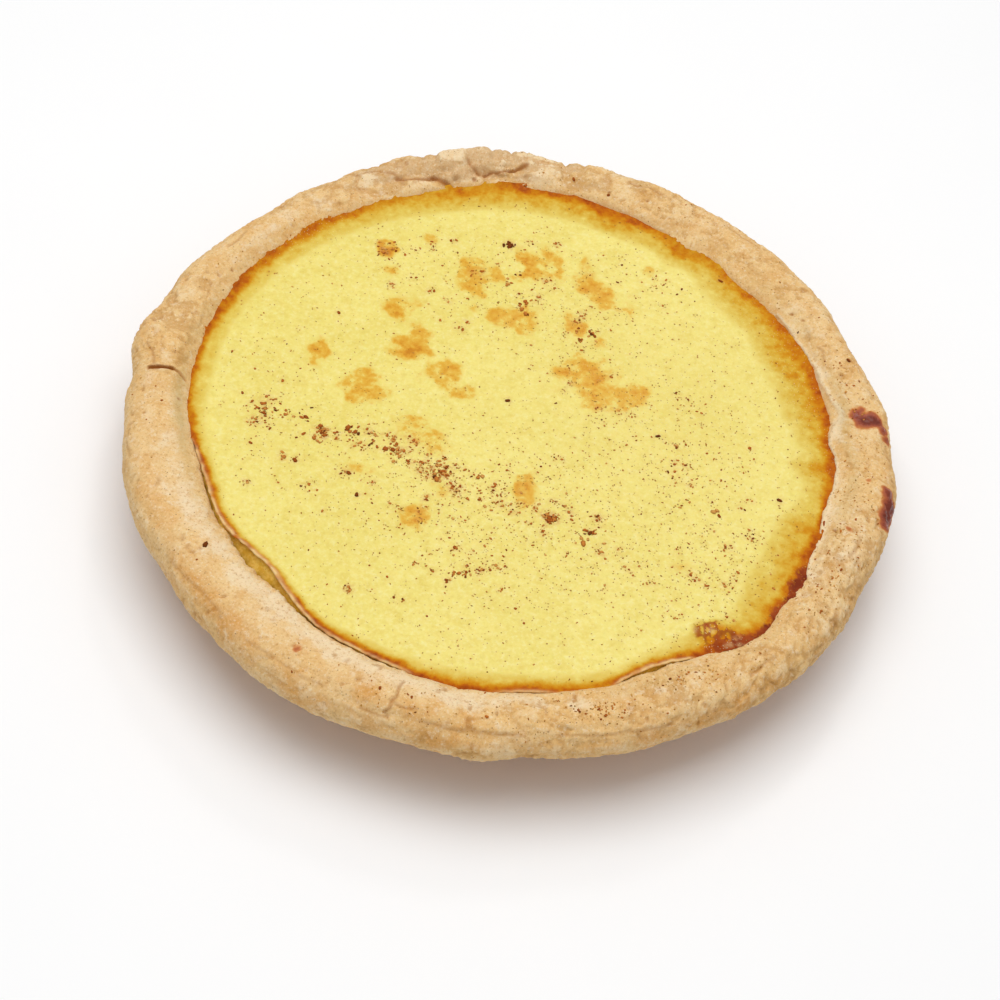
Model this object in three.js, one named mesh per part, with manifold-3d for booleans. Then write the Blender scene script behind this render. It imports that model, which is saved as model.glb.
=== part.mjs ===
// A whole baked custard pie, 200 mm across: an open shortcrust shell with a thick rolled rim,
// filled to just under the rim with set custard that is dusted with ground nutmeg.
// Millimetres, +Z up, standing on Z = 0. Angles are degrees from +X towards +Y.
import * as THREE from "three";
import { mergeVertices } from "three/addons/utils/BufferGeometryUtils.js";
import Module from "manifold-3d";

const wasm = await Module();
wasm.setup();

// Driving dimensions of the section.
const PIE_RADIUS = 100;
const CREST_HEIGHT = 30;
const BASE_RADIUS = 78;
const FOOT_ROUNDING = 2.5;
const RIM_OUTWARD = 7.6; // from the middle of the rolled rim to its widest point
const RIM_INWARD = 9.5; // and to its inner face
const RIM_UPWARD = 7.6;
const RIM_DOWNWARD = 4; // the rim's underside is flatter, where it was folded over the tin's lip
const RIM_SQUARENESS = 2.2; // 2 is an ellipse, more is squarer
const WALL_MEETS_RIM = -120; // profile angle under the rim where the sloping wall runs into it
const FLOOR_THICKNESS = 4.5;
const WALL_SPLAY = 9; // how much further in the filling's foot is than its neck
const CUSTARD_EDGE_HEIGHT = 27;
const CUSTARD_SAG = 0.6; // the middle of the custard is this much lower than its edge
const SAG_FLATNESS = 6; // the higher, the flatter the middle
const CLEARANCE = 0.3; // between the custard and the pastry round it
const CREVICE_DEPTH = 8; // how far down the custard has drawn away from the pastry
const FLOOR_CORNER = { inward: 2, up: 1.5 }; // bevel between the pastry's floor and its inner face
const CUSTARD_CORNER = { inward: 2.4, up: 1.8 }; // and on the custard that lies against it
const SHARED_HEIGHTS = [13.5, 18]; // where the pastry's inner face and the custard's side both have points
const NECK_HEIGHTS = [25.2, 26.4]; // further points of the custard's side, where the rim curves back
const CUSTARD_TOP_INSETS = [0.7, 2.5, 8, 34]; // rings of the custard's top, from its edge inwards
const ANGLE_STEPS = 160;
const RIM_UNDERSIDE_STEP = 30;
const RIM_TOP_STEP = 15;

const RIM_MIDDLE_RADIUS = PIE_RADIUS - RIM_OUTWARD;
const RIM_MIDDLE_HEIGHT = CREST_HEIGHT - RIM_UPWARD;

// Stretches over which each kind of unevenness sets in or fades out.
const FADE = {
  outerRadius: [RIM_MIDDLE_RADIUS - 6, PIE_RADIUS],
  outerHeight: [2, 18],
  innerRadius: [40, 82],
  innerRadiusEnd: [85, RIM_MIDDLE_RADIUS + 2],
  innerHeight: [2, 24],
  crestRadius: [84, 91],
  crestHeight: [8, CREST_HEIGHT],
  creviceRadius: [45, 80],
  creviceHeight: [CUSTARD_EDGE_HEIGHT - CREVICE_DEPTH, CUSTARD_EDGE_HEIGHT - 0.6],
  reliefAtWall: [-90, -40], // profile angles
  reliefAtCustard: [118, 138],
};

// Hand-made unevenness, each as [middle angle, half width in degrees, millimetres].
const RIM_SWELLS = [
  [355, 10, 0.5],
  [15, 4, 0.7],
  [29, 9, -1.6],
  [66, 12, -0.4],
  [89, 3, -0.8],
  [100, 5.5, 1.5],
  [144, 9, -1.4],
  [172.5, 4, 1.9],
  [240, 9, 0.6],
  [284, 8, -1.5],
  [305, 10, -0.3],
];
const INNER_LOBES = [
  [4, 11, 1.5],
  [6.5, 3.8, -2.9],
  [48, 7, -1.3],
  [61, 3.5, -2.8],
  [84, 12, 2.1],
  [101, 9, 1.5],
  [137, 28, 0.95],
  [203, 14, -1.5],
  [236, 10, -1.2],
  [321, 7.5, 4.0],
  [333, 5, 1.8],
  [350, 5, -1.1],
];
const CREST_RISES = [
  [20, 30, -0.5],
  [104, 9, 1.0],
  [128, 12, -0.6],
  [174, 7, 0.5],
  [228, 22, 0.4],
  [322, 14, -0.8],
];
const CREVICES = [
  [205, 11, 1.4],
  [226, 9.5, 4.9],
  [252, 10, 0.9],
  [279, 8, 0.6],
  [301, 6, 2.2],
];
// Lumps, folds and creases of the rim, each as
// [angle, profile angle, half width, half width along the profile, millimetres out].
const RIM_LUMPS = [
  // The pinched join at the back: a knob, a deep recess, a tongue and the creases round them.
  [101, 62, 4, 26, 1.2],
  [102.5, 122, 2.4, 14, -2.4],
  [96.5, 104, 3.4, 9, -1.1],
  [104, 94, 2, 20, -1.3],
  [107.5, 128, 2.6, 13, 1.2],
  [111, 120, 2.2, 14, -1.5],
  [94.5, 126, 4, 11, 0.9],
  [118, 104, 7, 9, -0.9],
  [119, 78, 9, 12, 0.5],
  // The step on either side of the open seam.
  [172, 40, 4, 40, 0.8],
  [184.5, 50, 3, 40, -0.5],
  // The long crease along the front, nearer to the crest at both its ends.
  [243, 66, 8, 9, -0.8],
  [257, 52, 9, 9, -1.0],
  [272, 46, 9, 9, -1.1],
  [286, 56, 7, 9, -0.8],
  [266, 14, 24, 14, 0.4],
  // Broad unevenness elsewhere.
  [12, 40, 4, 22, 0.7],
  [358, 25, 4, 24, 0.7],
  [8, 96, 12, 14, -0.6],
  [43, 118, 12, 12, -0.6],
  [63, 62, 6, 22, 0.5],
  [141, 62, 8, 26, -0.5],
  [156, 84, 2.6, 30, -0.5],
  [205, 50, 14, 32, 0.4],
  [319, 46, 6, 22, -0.7],
];
// Long, low waves that any hand-rolled rim has: [waves round the rim, phase, millimetres].
const RIM_WAVES = [
  [9, 1.3, 0.3],
  [17, 4.1, 0.22],
  [29, 2.2, 0.16],
];

// The open seam across the rim where the two ends of the pastry strip meet.
const SEAM_ANGLE = 181.2;
const SEAM_INNER_RADIUS = 87.5;
const SEAM_LENGTH = 9.5;
const SEAM_WIDTH = 1.1;
const SEAM_FLOOR_HEIGHT = 25.5;
// Its jagged plan, as shares of its length and width.
const SEAM_PLAN = [
  [0, 0.1],
  [0.35, -0.45],
  [0.7, -0.35],
  [1, -0.6],
  [1, 0.15],
  [0.6, 0.5],
  [0.3, 0.3],
];

// Clusters of larger nutmeg flakes: [x, y, spread, how many].
const NUTMEG_CLUSTERS = [
  [-62, -8, 5, 6],
  [-51, -12, 4, 5],
  [-40, -11, 4, 4],
  [-31, -13, 4, 5],
  [-17, -20, 3.5, 6],
  [-4, -24, 5, 3],
  [13, -30, 1.2, 2],
  [23, -31, 4, 4],
  [-6, -50, 8, 4],
  [-8, 63, 0.8, 1],
  [-4, 44, 7, 4],
  [14, 34, 7, 3],
  [-40, 54, 3, 2],
  [48, -12, 12, 3],
];
const FLAKE_RADIUS = { smallest: 0.55, largest: 1.25 };
const FLAKE_FLATNESS = 0.55;
const FLAKE_SINK = 0.25; // share of a flake's height that is under the custard's surface
const RANDOM_SEED = 2741;

const radians = THREE.MathUtils.degToRad;

// Rises smoothly from 0 to 1 over a stretch.
function fade(value, [from, to]) {
  return THREE.MathUtils.smoothstep(value, from, to);
}

// The shorter way round from one angle to another, in degrees.
function turn(from, to) {
  return THREE.MathUtils.euclideanModulo(to - from + 180, 360) - 180;
}

function bell(offset, halfWidth) {
  return Math.exp(-((offset / halfWidth) ** 2));
}

function sumOfBells(bells, degrees) {
  return bells.reduce((sum, [middle, half, size]) => sum + size * bell(turn(middle, degrees), half), 0);
}

// A point of the rolled rim's section: 0 is the outermost point, 90 the crest, 180 the inner face.
function rimPoint(profileAngle) {
  const power = 2 / RIM_SQUARENESS;
  const across = Math.cos(radians(profileAngle));
  const up = Math.sin(radians(profileAngle));
  const halfWidth = across > 0 ? RIM_OUTWARD : RIM_INWARD;
  const halfHeight = up > 0 ? RIM_UPWARD : RIM_DOWNWARD;
  return new THREE.Vector2(
    RIM_MIDDLE_RADIUS + Math.sign(across) * halfWidth * Math.abs(across) ** power,
    RIM_MIDDLE_HEIGHT + Math.sign(up) * halfHeight * Math.abs(up) ** power,
  );
}

// Radius of the pastry's inner face at a height, on the even section.
function innerFaceRadius(height) {
  const neck = RIM_MIDDLE_RADIUS - RIM_INWARD;
  if (height <= RIM_MIDDLE_HEIGHT) {
    const share = (RIM_MIDDLE_HEIGHT - height) / (RIM_MIDDLE_HEIGHT - FLOOR_THICKNESS);
    return neck - WALL_SPLAY * share;
  }
  const rise = (height - RIM_MIDDLE_HEIGHT) / RIM_UPWARD;
  return RIM_MIDDLE_RADIUS - RIM_INWARD * (1 - rise ** RIM_SQUARENESS) ** (1 / RIM_SQUARENESS);
}

const CUSTARD_RADIUS = innerFaceRadius(CUSTARD_EDGE_HEIGHT) - CLEARANCE;

// Height of the custard's top, nearly flat and lowest in the middle.
function custardHeight(radius) {
  return CUSTARD_EDGE_HEIGHT - CUSTARD_SAG * (1 - (radius / CUSTARD_RADIUS) ** SAG_FLATNESS);
}

// Moves a point of the even section to where the hand-made pie has it at this angle.
// Pastry and custard share it, so that they stay fitted to each other.
function madeByHand(point, degrees) {
  const outer = fade(point.x, FADE.outerRadius) * fade(point.y, FADE.outerHeight);
  const innerSide = fade(point.x, FADE.innerRadius) * (1 - fade(point.x, FADE.innerRadiusEnd));
  const inner = innerSide * fade(point.y, FADE.innerHeight);
  const crest = fade(point.x, FADE.crestRadius) * fade(point.y, FADE.crestHeight);
  return new THREE.Vector2(
    point.x + outer * sumOfBells(RIM_SWELLS, degrees) + inner * sumOfBells(INNER_LOBES, degrees),
    point.y + crest * sumOfBells(CREST_RISES, degrees),
  );
}

// How far a point of the rim stands out from its even section, in millimetres.
function rimRelief(degrees, profileAngle) {
  const lumps = RIM_LUMPS.reduce((sum, [angle, profile, half, halfProfile, size]) => {
    return sum + size * bell(turn(angle, degrees), half) * bell(profileAngle - profile, halfProfile);
  }, 0);
  const waves = RIM_WAVES.reduce((sum, [count, phase, size]) => {
    return sum + size * Math.sin(count * radians(degrees) + phase + profileAngle / 40);
  }, 0);
  const clearOfCustard = 1 - fade(profileAngle, FADE.reliefAtCustard);
  return (lumps + waves) * clearOfCustard * fade(profileAngle, FADE.reliefAtWall);
}

// The pastry's section from the middle of its underside, over the rim, to the middle of its floor.
// Each entry holds the point, the way it faces and its profile angle where it lies on the rim.
function crustSection() {
  const section = [];
  const add = (x, y, profileAngle = null) => section.push({ point: new THREE.Vector2(x, y), profileAngle });
  add(0, 0);
  add(BASE_RADIUS - FOOT_ROUNDING, 0);
  const foot = new THREE.Vector2(
    BASE_RADIUS - FOOT_ROUNDING * (1 - Math.SQRT1_2),
    FOOT_ROUNDING * (1 - Math.SQRT1_2),
  );
  add(foot.x, foot.y);
  const wallTop = rimPoint(WALL_MEETS_RIM);
  const middle = foot.clone().lerp(wallTop, 0.5);
  add(middle.x, middle.y);
  const addRim = (angle) => add(rimPoint(angle).x, rimPoint(angle).y, angle);
  for (let angle = WALL_MEETS_RIM; angle < 0; angle += RIM_UNDERSIDE_STEP) addRim(angle);
  for (let angle = 0; angle <= 180; angle += RIM_TOP_STEP) addRim(angle);
  for (const height of [...SHARED_HEIGHTS].reverse()) add(innerFaceRadius(height), height);
  const cornerTop = FLOOR_THICKNESS + FLOOR_CORNER.up;
  add(innerFaceRadius(cornerTop), cornerTop);
  add(innerFaceRadius(FLOOR_THICKNESS) - FLOOR_CORNER.inward, FLOOR_THICKNESS);
  add(0, FLOOR_THICKNESS);
  return section;
}

// The custard's section from the middle of its underside, up its side, to the middle of its top.
function custardSection() {
  const floor = FLOOR_THICKNESS + CLEARANCE;
  const section = [new THREE.Vector2(0, floor)];
  section.push(new THREE.Vector2(innerFaceRadius(FLOOR_THICKNESS) - CUSTARD_CORNER.inward, floor));
  const cornerTop = FLOOR_THICKNESS + CUSTARD_CORNER.up;
  for (const height of [cornerTop, ...SHARED_HEIGHTS, RIM_MIDDLE_HEIGHT, ...NECK_HEIGHTS]) {
    section.push(new THREE.Vector2(innerFaceRadius(height) - CLEARANCE, height));
  }
  for (const inset of [...CUSTARD_TOP_INSETS, CUSTARD_RADIUS]) {
    const radius = CUSTARD_RADIUS - inset;
    section.push(new THREE.Vector2(radius, custardHeight(radius)));
  }
  return section;
}

// How far in the custard stands from where it was baked against the pastry.
function crevice(degrees, point) {
  const open = fade(point.x, FADE.creviceRadius) * fade(point.y, FADE.creviceHeight);
  return open * sumOfBells(CREVICES, degrees);
}

// A lathe turned about Z whose vertices are then placed by place(degrees, index in the section).
function unevenLathe(points, place) {
  const geometry = new THREE.LatheGeometry(points, ANGLE_STEPS);
  geometry.rotateX(Math.PI / 2);
  const position = geometry.getAttribute("position");
  for (let i = 0; i < position.count; i++) {
    const step = Math.floor(i / points.length) % ANGLE_STEPS;
    const degrees = (360 * step) / ANGLE_STEPS;
    const moved = place(degrees, i % points.length);
    position.setXYZ(i, moved.x * Math.cos(radians(degrees)), moved.x * Math.sin(radians(degrees)), moved.y);
  }
  return geometry;
}

// Outward directions of a section's points, from their neighbours.
function facings(points) {
  return points.map((point, i) => {
    const along = points[Math.min(i + 1, points.length - 1)].clone().sub(points[Math.max(i - 1, 0)]);
    return new THREE.Vector2(along.y, -along.x).normalize();
  });
}

function solidOf(geometry) {
  const bare = geometry.clone();
  bare.deleteAttribute("normal");
  bare.deleteAttribute("uv");
  const merged = mergeVertices(bare, 1e-4);
  const index = merged.getIndex().array;
  const corners = [];
  for (let i = 0; i < index.length; i += 3) {
    const [a, b, c] = [index[i], index[i + 1], index[i + 2]];
    if (a !== b && b !== c && c !== a) corners.push(a, b, c);
  }
  const solid = new wasm.Manifold(
    new wasm.Mesh({
      numProp: 3,
      vertProperties: merged.getAttribute("position").array,
      triVerts: new Uint32Array(corners),
    }),
  );
  if (solid.volume() < 0) throw new Error("a solid faces inwards");
  return solid;
}

function geometryOf(solid) {
  const mesh = solid.getMesh();
  const geometry = new THREE.BufferGeometry();
  geometry.setAttribute("position", new THREE.BufferAttribute(mesh.vertProperties, 3));
  geometry.setIndex(new THREE.BufferAttribute(mesh.triVerts, 1));
  geometry.computeVertexNormals();
  return geometry;
}

// A jagged sliver with the plan of the open seam, as deep as the seam goes.
function seamCutter() {
  const plan = SEAM_PLAN.map(([along, across]) => {
    return new THREE.Vector2(SEAM_LENGTH * along, SEAM_WIDTH * across);
  });
  const straightUp = { depth: CREST_HEIGHT, bevelEnabled: false };
  const geometry = new THREE.ExtrudeGeometry(new THREE.Shape(plan), straightUp);
  geometry.translate(SEAM_INNER_RADIUS, 0, SEAM_FLOOR_HEIGHT);
  geometry.rotateZ(radians(SEAM_ANGLE));
  return geometry;
}

function crustGeometry() {
  const section = crustSection();
  const points = section.map((entry) => entry.point);
  const facing = facings(points);
  const geometry = unevenLathe(points, (degrees, i) => {
    const { point, profileAngle } = section[i];
    const relief = profileAngle === null ? 0 : rimRelief(degrees, profileAngle);
    return madeByHand(point, degrees).addScaledVector(facing[i], relief);
  });
  return geometryOf(solidOf(geometry).subtract(solidOf(seamCutter())));
}

// A repeatable source of numbers from 0 to 1.
function seededRandom(seed) {
  let state = seed;
  return () => {
    state = (state * 48271) % 2147483647;
    return state / 2147483647;
  };
}

// Flattened, irregular nutmeg flakes lying part sunk in the custard's top.
function nutmegFlakes() {
  const random = seededRandom(RANDOM_SEED);
  const flakes = [];
  for (const [x, y, spread, count] of NUTMEG_CLUSTERS) {
    for (let i = 0; i < count; i++) {
      const distance = spread * Math.sqrt(random());
      const heading = 2 * Math.PI * random();
      const range = FLAKE_RADIUS.largest - FLAKE_RADIUS.smallest;
      const radius = FLAKE_RADIUS.smallest + range * random() ** 2;
      const length = radius * (1 + 0.5 * random());
      const flake = new THREE.IcosahedronGeometry(1, 0);
      flake.rotateX(Math.PI * random());
      flake.scale(length, radius, radius * FLAKE_FLATNESS);
      flake.rotateZ(Math.PI * random());
      const flakeX = x + distance * Math.cos(heading);
      const flakeY = y + distance * Math.sin(heading);
      const lift = radius * FLAKE_FLATNESS * (1 - 2 * FLAKE_SINK);
      flake.translate(flakeX, flakeY, custardHeight(Math.hypot(flakeX, flakeY)) + lift);
      flakes.push(flake);
    }
  }
  return flakes;
}

function custardGeometry() {
  const points = custardSection();
  const body = unevenLathe(points, (degrees, i) => {
    const made = madeByHand(points[i], degrees);
    made.x -= crevice(degrees, points[i]);
    return made;
  });
  const custard = nutmegFlakes().reduce((solid, flake) => solid.add(solidOf(flake)), solidOf(body));
  return geometryOf(custard);
}

function named(name, geometry, material) {
  const mesh = new THREE.Mesh(geometry, material);
  mesh.name = name;
  return mesh;
}

const pastry = new THREE.MeshStandardMaterial({ color: "#d9b583", roughness: 0.85, metalness: 0 });
const setCustard = new THREE.MeshStandardMaterial({ color: "#efe07a", roughness: 0.4, metalness: 0 });

const pie = new THREE.Group();
pie.add(named("crust", crustGeometry(), pastry));
pie.add(named("custard", custardGeometry(), setCustard));

// Centres the uneven outline on the origin.
const outline = new THREE.Box3().setFromObject(pie);
const middle = outline.getCenter(new THREE.Vector3());
pie.position.set(-middle.x, -middle.y, -outline.min.z);

export default pie;
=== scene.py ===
"""A whole baked custard pie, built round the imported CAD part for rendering.

Lengths are millimetres and angles degrees, from +X towards +Y, until a mesh, light or camera is made.
"""

import math

import bpy
import numpy as np
from mathutils import Matrix, Vector
from mathutils.bvhtree import BVHTree


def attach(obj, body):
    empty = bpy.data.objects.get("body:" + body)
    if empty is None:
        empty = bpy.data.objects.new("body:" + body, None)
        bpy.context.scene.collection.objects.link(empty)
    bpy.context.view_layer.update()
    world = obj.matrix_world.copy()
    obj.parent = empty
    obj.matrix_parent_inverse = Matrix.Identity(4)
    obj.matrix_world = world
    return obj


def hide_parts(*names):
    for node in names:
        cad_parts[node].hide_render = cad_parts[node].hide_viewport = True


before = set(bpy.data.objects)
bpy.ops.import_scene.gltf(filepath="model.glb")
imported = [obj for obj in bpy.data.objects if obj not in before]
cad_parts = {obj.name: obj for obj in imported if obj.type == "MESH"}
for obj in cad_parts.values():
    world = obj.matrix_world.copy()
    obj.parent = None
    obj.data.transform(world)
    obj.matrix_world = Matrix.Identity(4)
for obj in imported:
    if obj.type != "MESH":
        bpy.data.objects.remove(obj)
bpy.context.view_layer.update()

MM = 0.001

# ---------------- the pie's section, as in the CAD part

PIE_RADIUS = 100
CREST_HEIGHT = 30
BASE_RADIUS = 78
FOOT_ROUNDING = 2.5
RIM_OUTWARD = 7.6
RIM_INWARD = 9.5
RIM_UPWARD = 7.6
RIM_DOWNWARD = 4
RIM_SQUARENESS = 2.2
WALL_MEETS_RIM = -120
FLOOR_THICKNESS = 4.5
WALL_SPLAY = 9
CUSTARD_EDGE_HEIGHT = 27
CUSTARD_SAG = 0.6
SAG_FLATNESS = 6
CLEARANCE = 0.3
# In narrow and in wide places. They are less deep than the CAD part's, as crumbs shut their feet.
CREVICE_DEPTHS = (1.1, 3.5)
CAD_ANGLE_STEPS = 160
CAD_RIM_TOP_STEP = 15
RIM_MIDDLE_RADIUS = PIE_RADIUS - RIM_OUTWARD
RIM_MIDDLE_HEIGHT = CREST_HEIGHT - RIM_UPWARD

# [middle angle, half width in degrees, millimetres]
RIM_SWELLS = [
    (355, 10, 0.5), (15, 4, 0.7), (29, 9, -1.6), (66, 12, -0.4), (89, 3, -0.8), (100, 5.5, 1.5),
    (144, 9, -1.4), (172.5, 4, 1.9), (240, 9, 0.6), (284, 8, -1.5), (305, 10, -0.3),
]
INNER_LOBES = [
    (4, 11, 1.5), (6.5, 3.8, -2.9), (48, 7, -1.3), (61, 3.5, -2.8), (84, 12, 2.1), (101, 9, 1.5),
    (137, 28, 0.95), (203, 14, -1.5), (236, 10, -1.2), (321, 7.5, 4), (333, 5, 1.8), (350, 5, -1.1),
]
CREST_RISES = [(20, 30, -0.5), (104, 9, 1), (128, 12, -0.6), (174, 7, 0.5), (228, 22, 0.4), (322, 14, -0.8)]
CREVICES = [(205, 11, 1.4), (226, 9.5, 4.9), (252, 10, 0.9), (279, 8, 0.6), (301, 6, 2.2)]
# [angle, profile angle, half width, half width along the profile, millimetres out]
RIM_LUMPS = [
    (101, 62, 4, 26, 1.2), (102.5, 122, 2.4, 14, -2.4), (96.5, 104, 3.4, 9, -1.1), (104, 94, 2, 20, -1.3),
    (107.5, 128, 2.6, 13, 1.2), (111, 120, 2.2, 14, -1.5), (94.5, 126, 4, 11, 0.9), (118, 104, 7, 9, -0.9),
    (119, 78, 9, 12, 0.5), (172, 40, 4, 40, 0.8), (184.5, 50, 3, 40, -0.5), (243, 66, 8, 9, -0.8),
    (257, 52, 9, 9, -1), (272, 46, 9, 9, -1.1), (286, 56, 7, 9, -0.8), (266, 14, 24, 14, 0.4),
    (12, 40, 4, 22, 0.7), (358, 25, 4, 24, 0.7), (8, 96, 12, 14, -0.6), (43, 118, 12, 12, -0.6),
    (63, 62, 6, 22, 0.5), (141, 62, 8, 26, -0.5), (156, 84, 2.6, 30, -0.5), (205, 50, 14, 32, 0.4),
    (319, 46, 6, 22, -0.7),
]
# [waves round the rim, phase, millimetres]
RIM_WAVES = [(9, 1.3, 0.3), (17, 4.1, 0.22), (29, 2.2, 0.16)]


def smooth(value, stretch):
    """Rises smoothly from 0 to 1 over a stretch."""
    share = np.clip((value - stretch[0]) / (stretch[1] - stretch[0]), 0, 1)
    return share * share * (3 - 2 * share)


def turn(start, to):
    """The shorter way round from one angle to another."""
    return (to - start + 180) % 360 - 180


def bell(offset, half_width):
    return np.exp(-((offset / half_width) ** 2))


def bells(table, degrees):
    return sum(size * bell(turn(middle, degrees), half) for middle, half, size in table)


def spots(table, degrees, profile):
    """Sum of soft spots on the rim."""
    return sum(
        size * bell(turn(angle, degrees), half) * bell(profile - at, half_profile)
        for angle, at, half, half_profile, size in table
    )


def rim_point(profile):
    """Radius and height on the rolled rim: 0 is its outermost point, 90 the crest, 180 the inner face."""
    across, up = np.cos(np.radians(profile)), np.sin(np.radians(profile))
    power = 2 / RIM_SQUARENESS
    half_width = np.where(across > 0, RIM_OUTWARD, RIM_INWARD)
    half_height = np.where(up > 0, RIM_UPWARD, RIM_DOWNWARD)
    return (
        RIM_MIDDLE_RADIUS + np.sign(across) * half_width * np.abs(across) ** power,
        RIM_MIDDLE_HEIGHT + np.sign(up) * half_height * np.abs(up) ** power,
    )


def inner_face_radius(height):
    height = np.asarray(height, float)
    share = (RIM_MIDDLE_HEIGHT - height) / (RIM_MIDDLE_HEIGHT - FLOOR_THICKNESS)
    wall = RIM_MIDDLE_RADIUS - RIM_INWARD - WALL_SPLAY * share
    rise = np.clip((height - RIM_MIDDLE_HEIGHT) / RIM_UPWARD, 0, 1)
    rolled = RIM_MIDDLE_RADIUS - RIM_INWARD * (1 - rise**RIM_SQUARENESS) ** (1 / RIM_SQUARENESS)
    return np.where(height <= RIM_MIDDLE_HEIGHT, wall, rolled)


CUSTARD_RADIUS = float(inner_face_radius(CUSTARD_EDGE_HEIGHT)) - CLEARANCE


def custard_height(radius):
    return CUSTARD_EDGE_HEIGHT - CUSTARD_SAG * (1 - (np.abs(radius) / CUSTARD_RADIUS) ** SAG_FLATNESS)


def made_by_hand(radius, height, degrees):
    """Moves a point of the even section to where the hand-made pie has it at this angle."""
    outer = smooth(radius, (86.4, 100)) * smooth(height, (2, 18))
    inner_side = smooth(radius, (40, 82)) * (1 - smooth(radius, (85, 94.4)))
    inner = inner_side * smooth(height, (2, 24))
    crest = smooth(radius, (84, 91)) * smooth(height, (8, 30))
    return (
        radius + outer * bells(RIM_SWELLS, degrees) + inner * bells(INNER_LOBES, degrees),
        height + crest * bells(CREST_RISES, degrees),
    )


def rim_relief(degrees, profile):
    waves = sum(
        size * np.sin(count * np.radians(degrees) + phase + profile / 40) for count, phase, size in RIM_WAVES
    )
    fades = (1 - smooth(profile, (118, 138))) * smooth(profile, (-90, -40))
    return (spots(RIM_LUMPS, degrees, profile) + waves) * fades


def crevice(degrees, radius, height):
    """How far in the custard stands from where it was baked against the pastry."""
    opened = bells(CREVICES, degrees)
    depth = CREVICE_DEPTHS[0] + (CREVICE_DEPTHS[1] - CREVICE_DEPTHS[0]) * smooth(opened, (1, 4))
    share = np.clip(1 - (CUSTARD_EDGE_HEIGHT - 0.6 - height) / depth, 0, 1)
    return smooth(radius, (45, 80)) * share * opened


def facing(radii, heights):
    """Outward directions of a section's points, from their neighbours."""
    along_r, along_z = np.gradient(radii), np.gradient(heights)
    length = np.hypot(along_r, along_z)
    return along_z / length, -along_r / length


def placed(radius, height, degrees):
    angle = np.radians(degrees)
    return np.stack([radius * np.cos(angle), radius * np.sin(angle), height + 0 * angle], -1)


def cad_middle():
    """Middle of the CAD part's outline before it was centred, worked out as the CAD part does."""
    degrees = np.arange(CAD_ANGLE_STEPS)[:, None] * 360 / CAD_ANGLE_STEPS
    profile = np.arange(0, 180, CAD_RIM_TOP_STEP)[None, :]
    profile = np.concatenate([[[-90, -60, -30]], profile], 1)
    radii, heights = rim_point(profile[0])
    out_r, out_z = facing(radii, heights)
    relief = rim_relief(degrees, profile)
    moved_r, moved_z = made_by_hand(radii[None, :], heights[None, :], degrees)
    points = placed(moved_r + out_r * relief, moved_z + out_z * relief, degrees + 0 * profile)
    return (points.min((0, 1)) + points.max((0, 1))) / 2


CENTRING = cad_middle() * (1, 1, 0)

# ---------------- repeatable unevenness


def hashed(x, y, z, seed):
    """Repeatable numbers from 0 to 1 for whole-number places."""
    h = (x * 73856093 ^ y * 19349663 ^ z * 83492791 ^ seed * 2654435761) & 0xFFFFFFFF
    h = ((h ^ (h >> 13)) * 1274126177) & 0xFFFFFFFF
    h = ((h ^ (h >> 15)) * 461845907) & 0xFFFFFFFF
    return ((h ^ (h >> 16)) & 0xFFFFFF) / 0xFFFFFF


def noise(points, size, seed):
    """Smooth noise from -1 to 1 whose lumps are about size across; size may differ by axis."""
    p = points / np.asarray(size, float)
    cell = np.floor(p).astype(np.int64)
    f = p - cell
    f = f * f * f * (f * (f * 6 - 15) + 10)
    total = 0
    for corner in np.ndindex(2, 2, 2):
        weight = 1
        for axis in range(3):
            weight = weight * (f[..., axis] if corner[axis] else 1 - f[..., axis])
        total = total + weight * hashed(*(cell[..., axis] + corner[axis] for axis in range(3)), seed)
    return 2 * total - 1


SKEW = np.array([[0.80, 0.36, -0.48], [-0.60, 0.48, -0.64], [0.0, 0.80, 0.60]])


def layered(points, size, seed, octaves=3, fall=0.5):
    total, weight, reach = 0, 1.0, 0
    p = np.asarray(points, float)
    for octave in range(octaves):
        total = total + weight * noise(p, np.asarray(size) / 2**octave, seed + octave)
        reach += weight
        weight *= fall
        p = p @ SKEW.T
    return total / reach


def unevenness(points, recipe):
    """Sum of layered noises, each [amount, size, seed, octaves]."""
    return sum(amount * layered(points, *noises) for amount, *noises in recipe)


def cells(points, size, seed):
    """Distances to the nearest two of scattered points that are about size apart, as shares of size."""
    p = points / size
    home = np.floor(p).astype(np.int64)
    first = np.full(p.shape[:-1], 9.0)
    second = first.copy()
    for offset in np.ndindex(3, 3, 3):
        cell = home + np.array(offset) - 1
        keys = [cell[..., axis] for axis in range(3)]
        spot = np.stack([hashed(*keys, seed + axis) for axis in range(3)], -1)
        away = np.sqrt((((cell + spot) - p) ** 2).sum(-1))
        second = np.minimum(second, np.maximum(first, away))
        first = np.minimum(first, away)
    return first, second


# ---------------- meshes


def grid_faces(rings, steps, start=0):
    """Quads of a closed grid, ring by ring, wound so that they face outwards when the section runs from the
    middle of the underside over the rim to the middle of the top."""
    ring, step = np.meshgrid(np.arange(rings - 1), np.arange(steps), indexing="ij")
    here = start + ring * steps + step
    beside = start + ring * steps + (step + 1) % steps
    return np.stack([here, beside, beside + steps, here + steps], -1).reshape(-1, 4)


def fan_faces(first, steps, middle, upward):
    step = np.arange(steps)
    here, beside = first + step, first + (step + 1) % steps
    ends = (here, beside) if upward else (beside, here)
    return np.stack([*ends, np.full(steps, middle)], -1)


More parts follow.
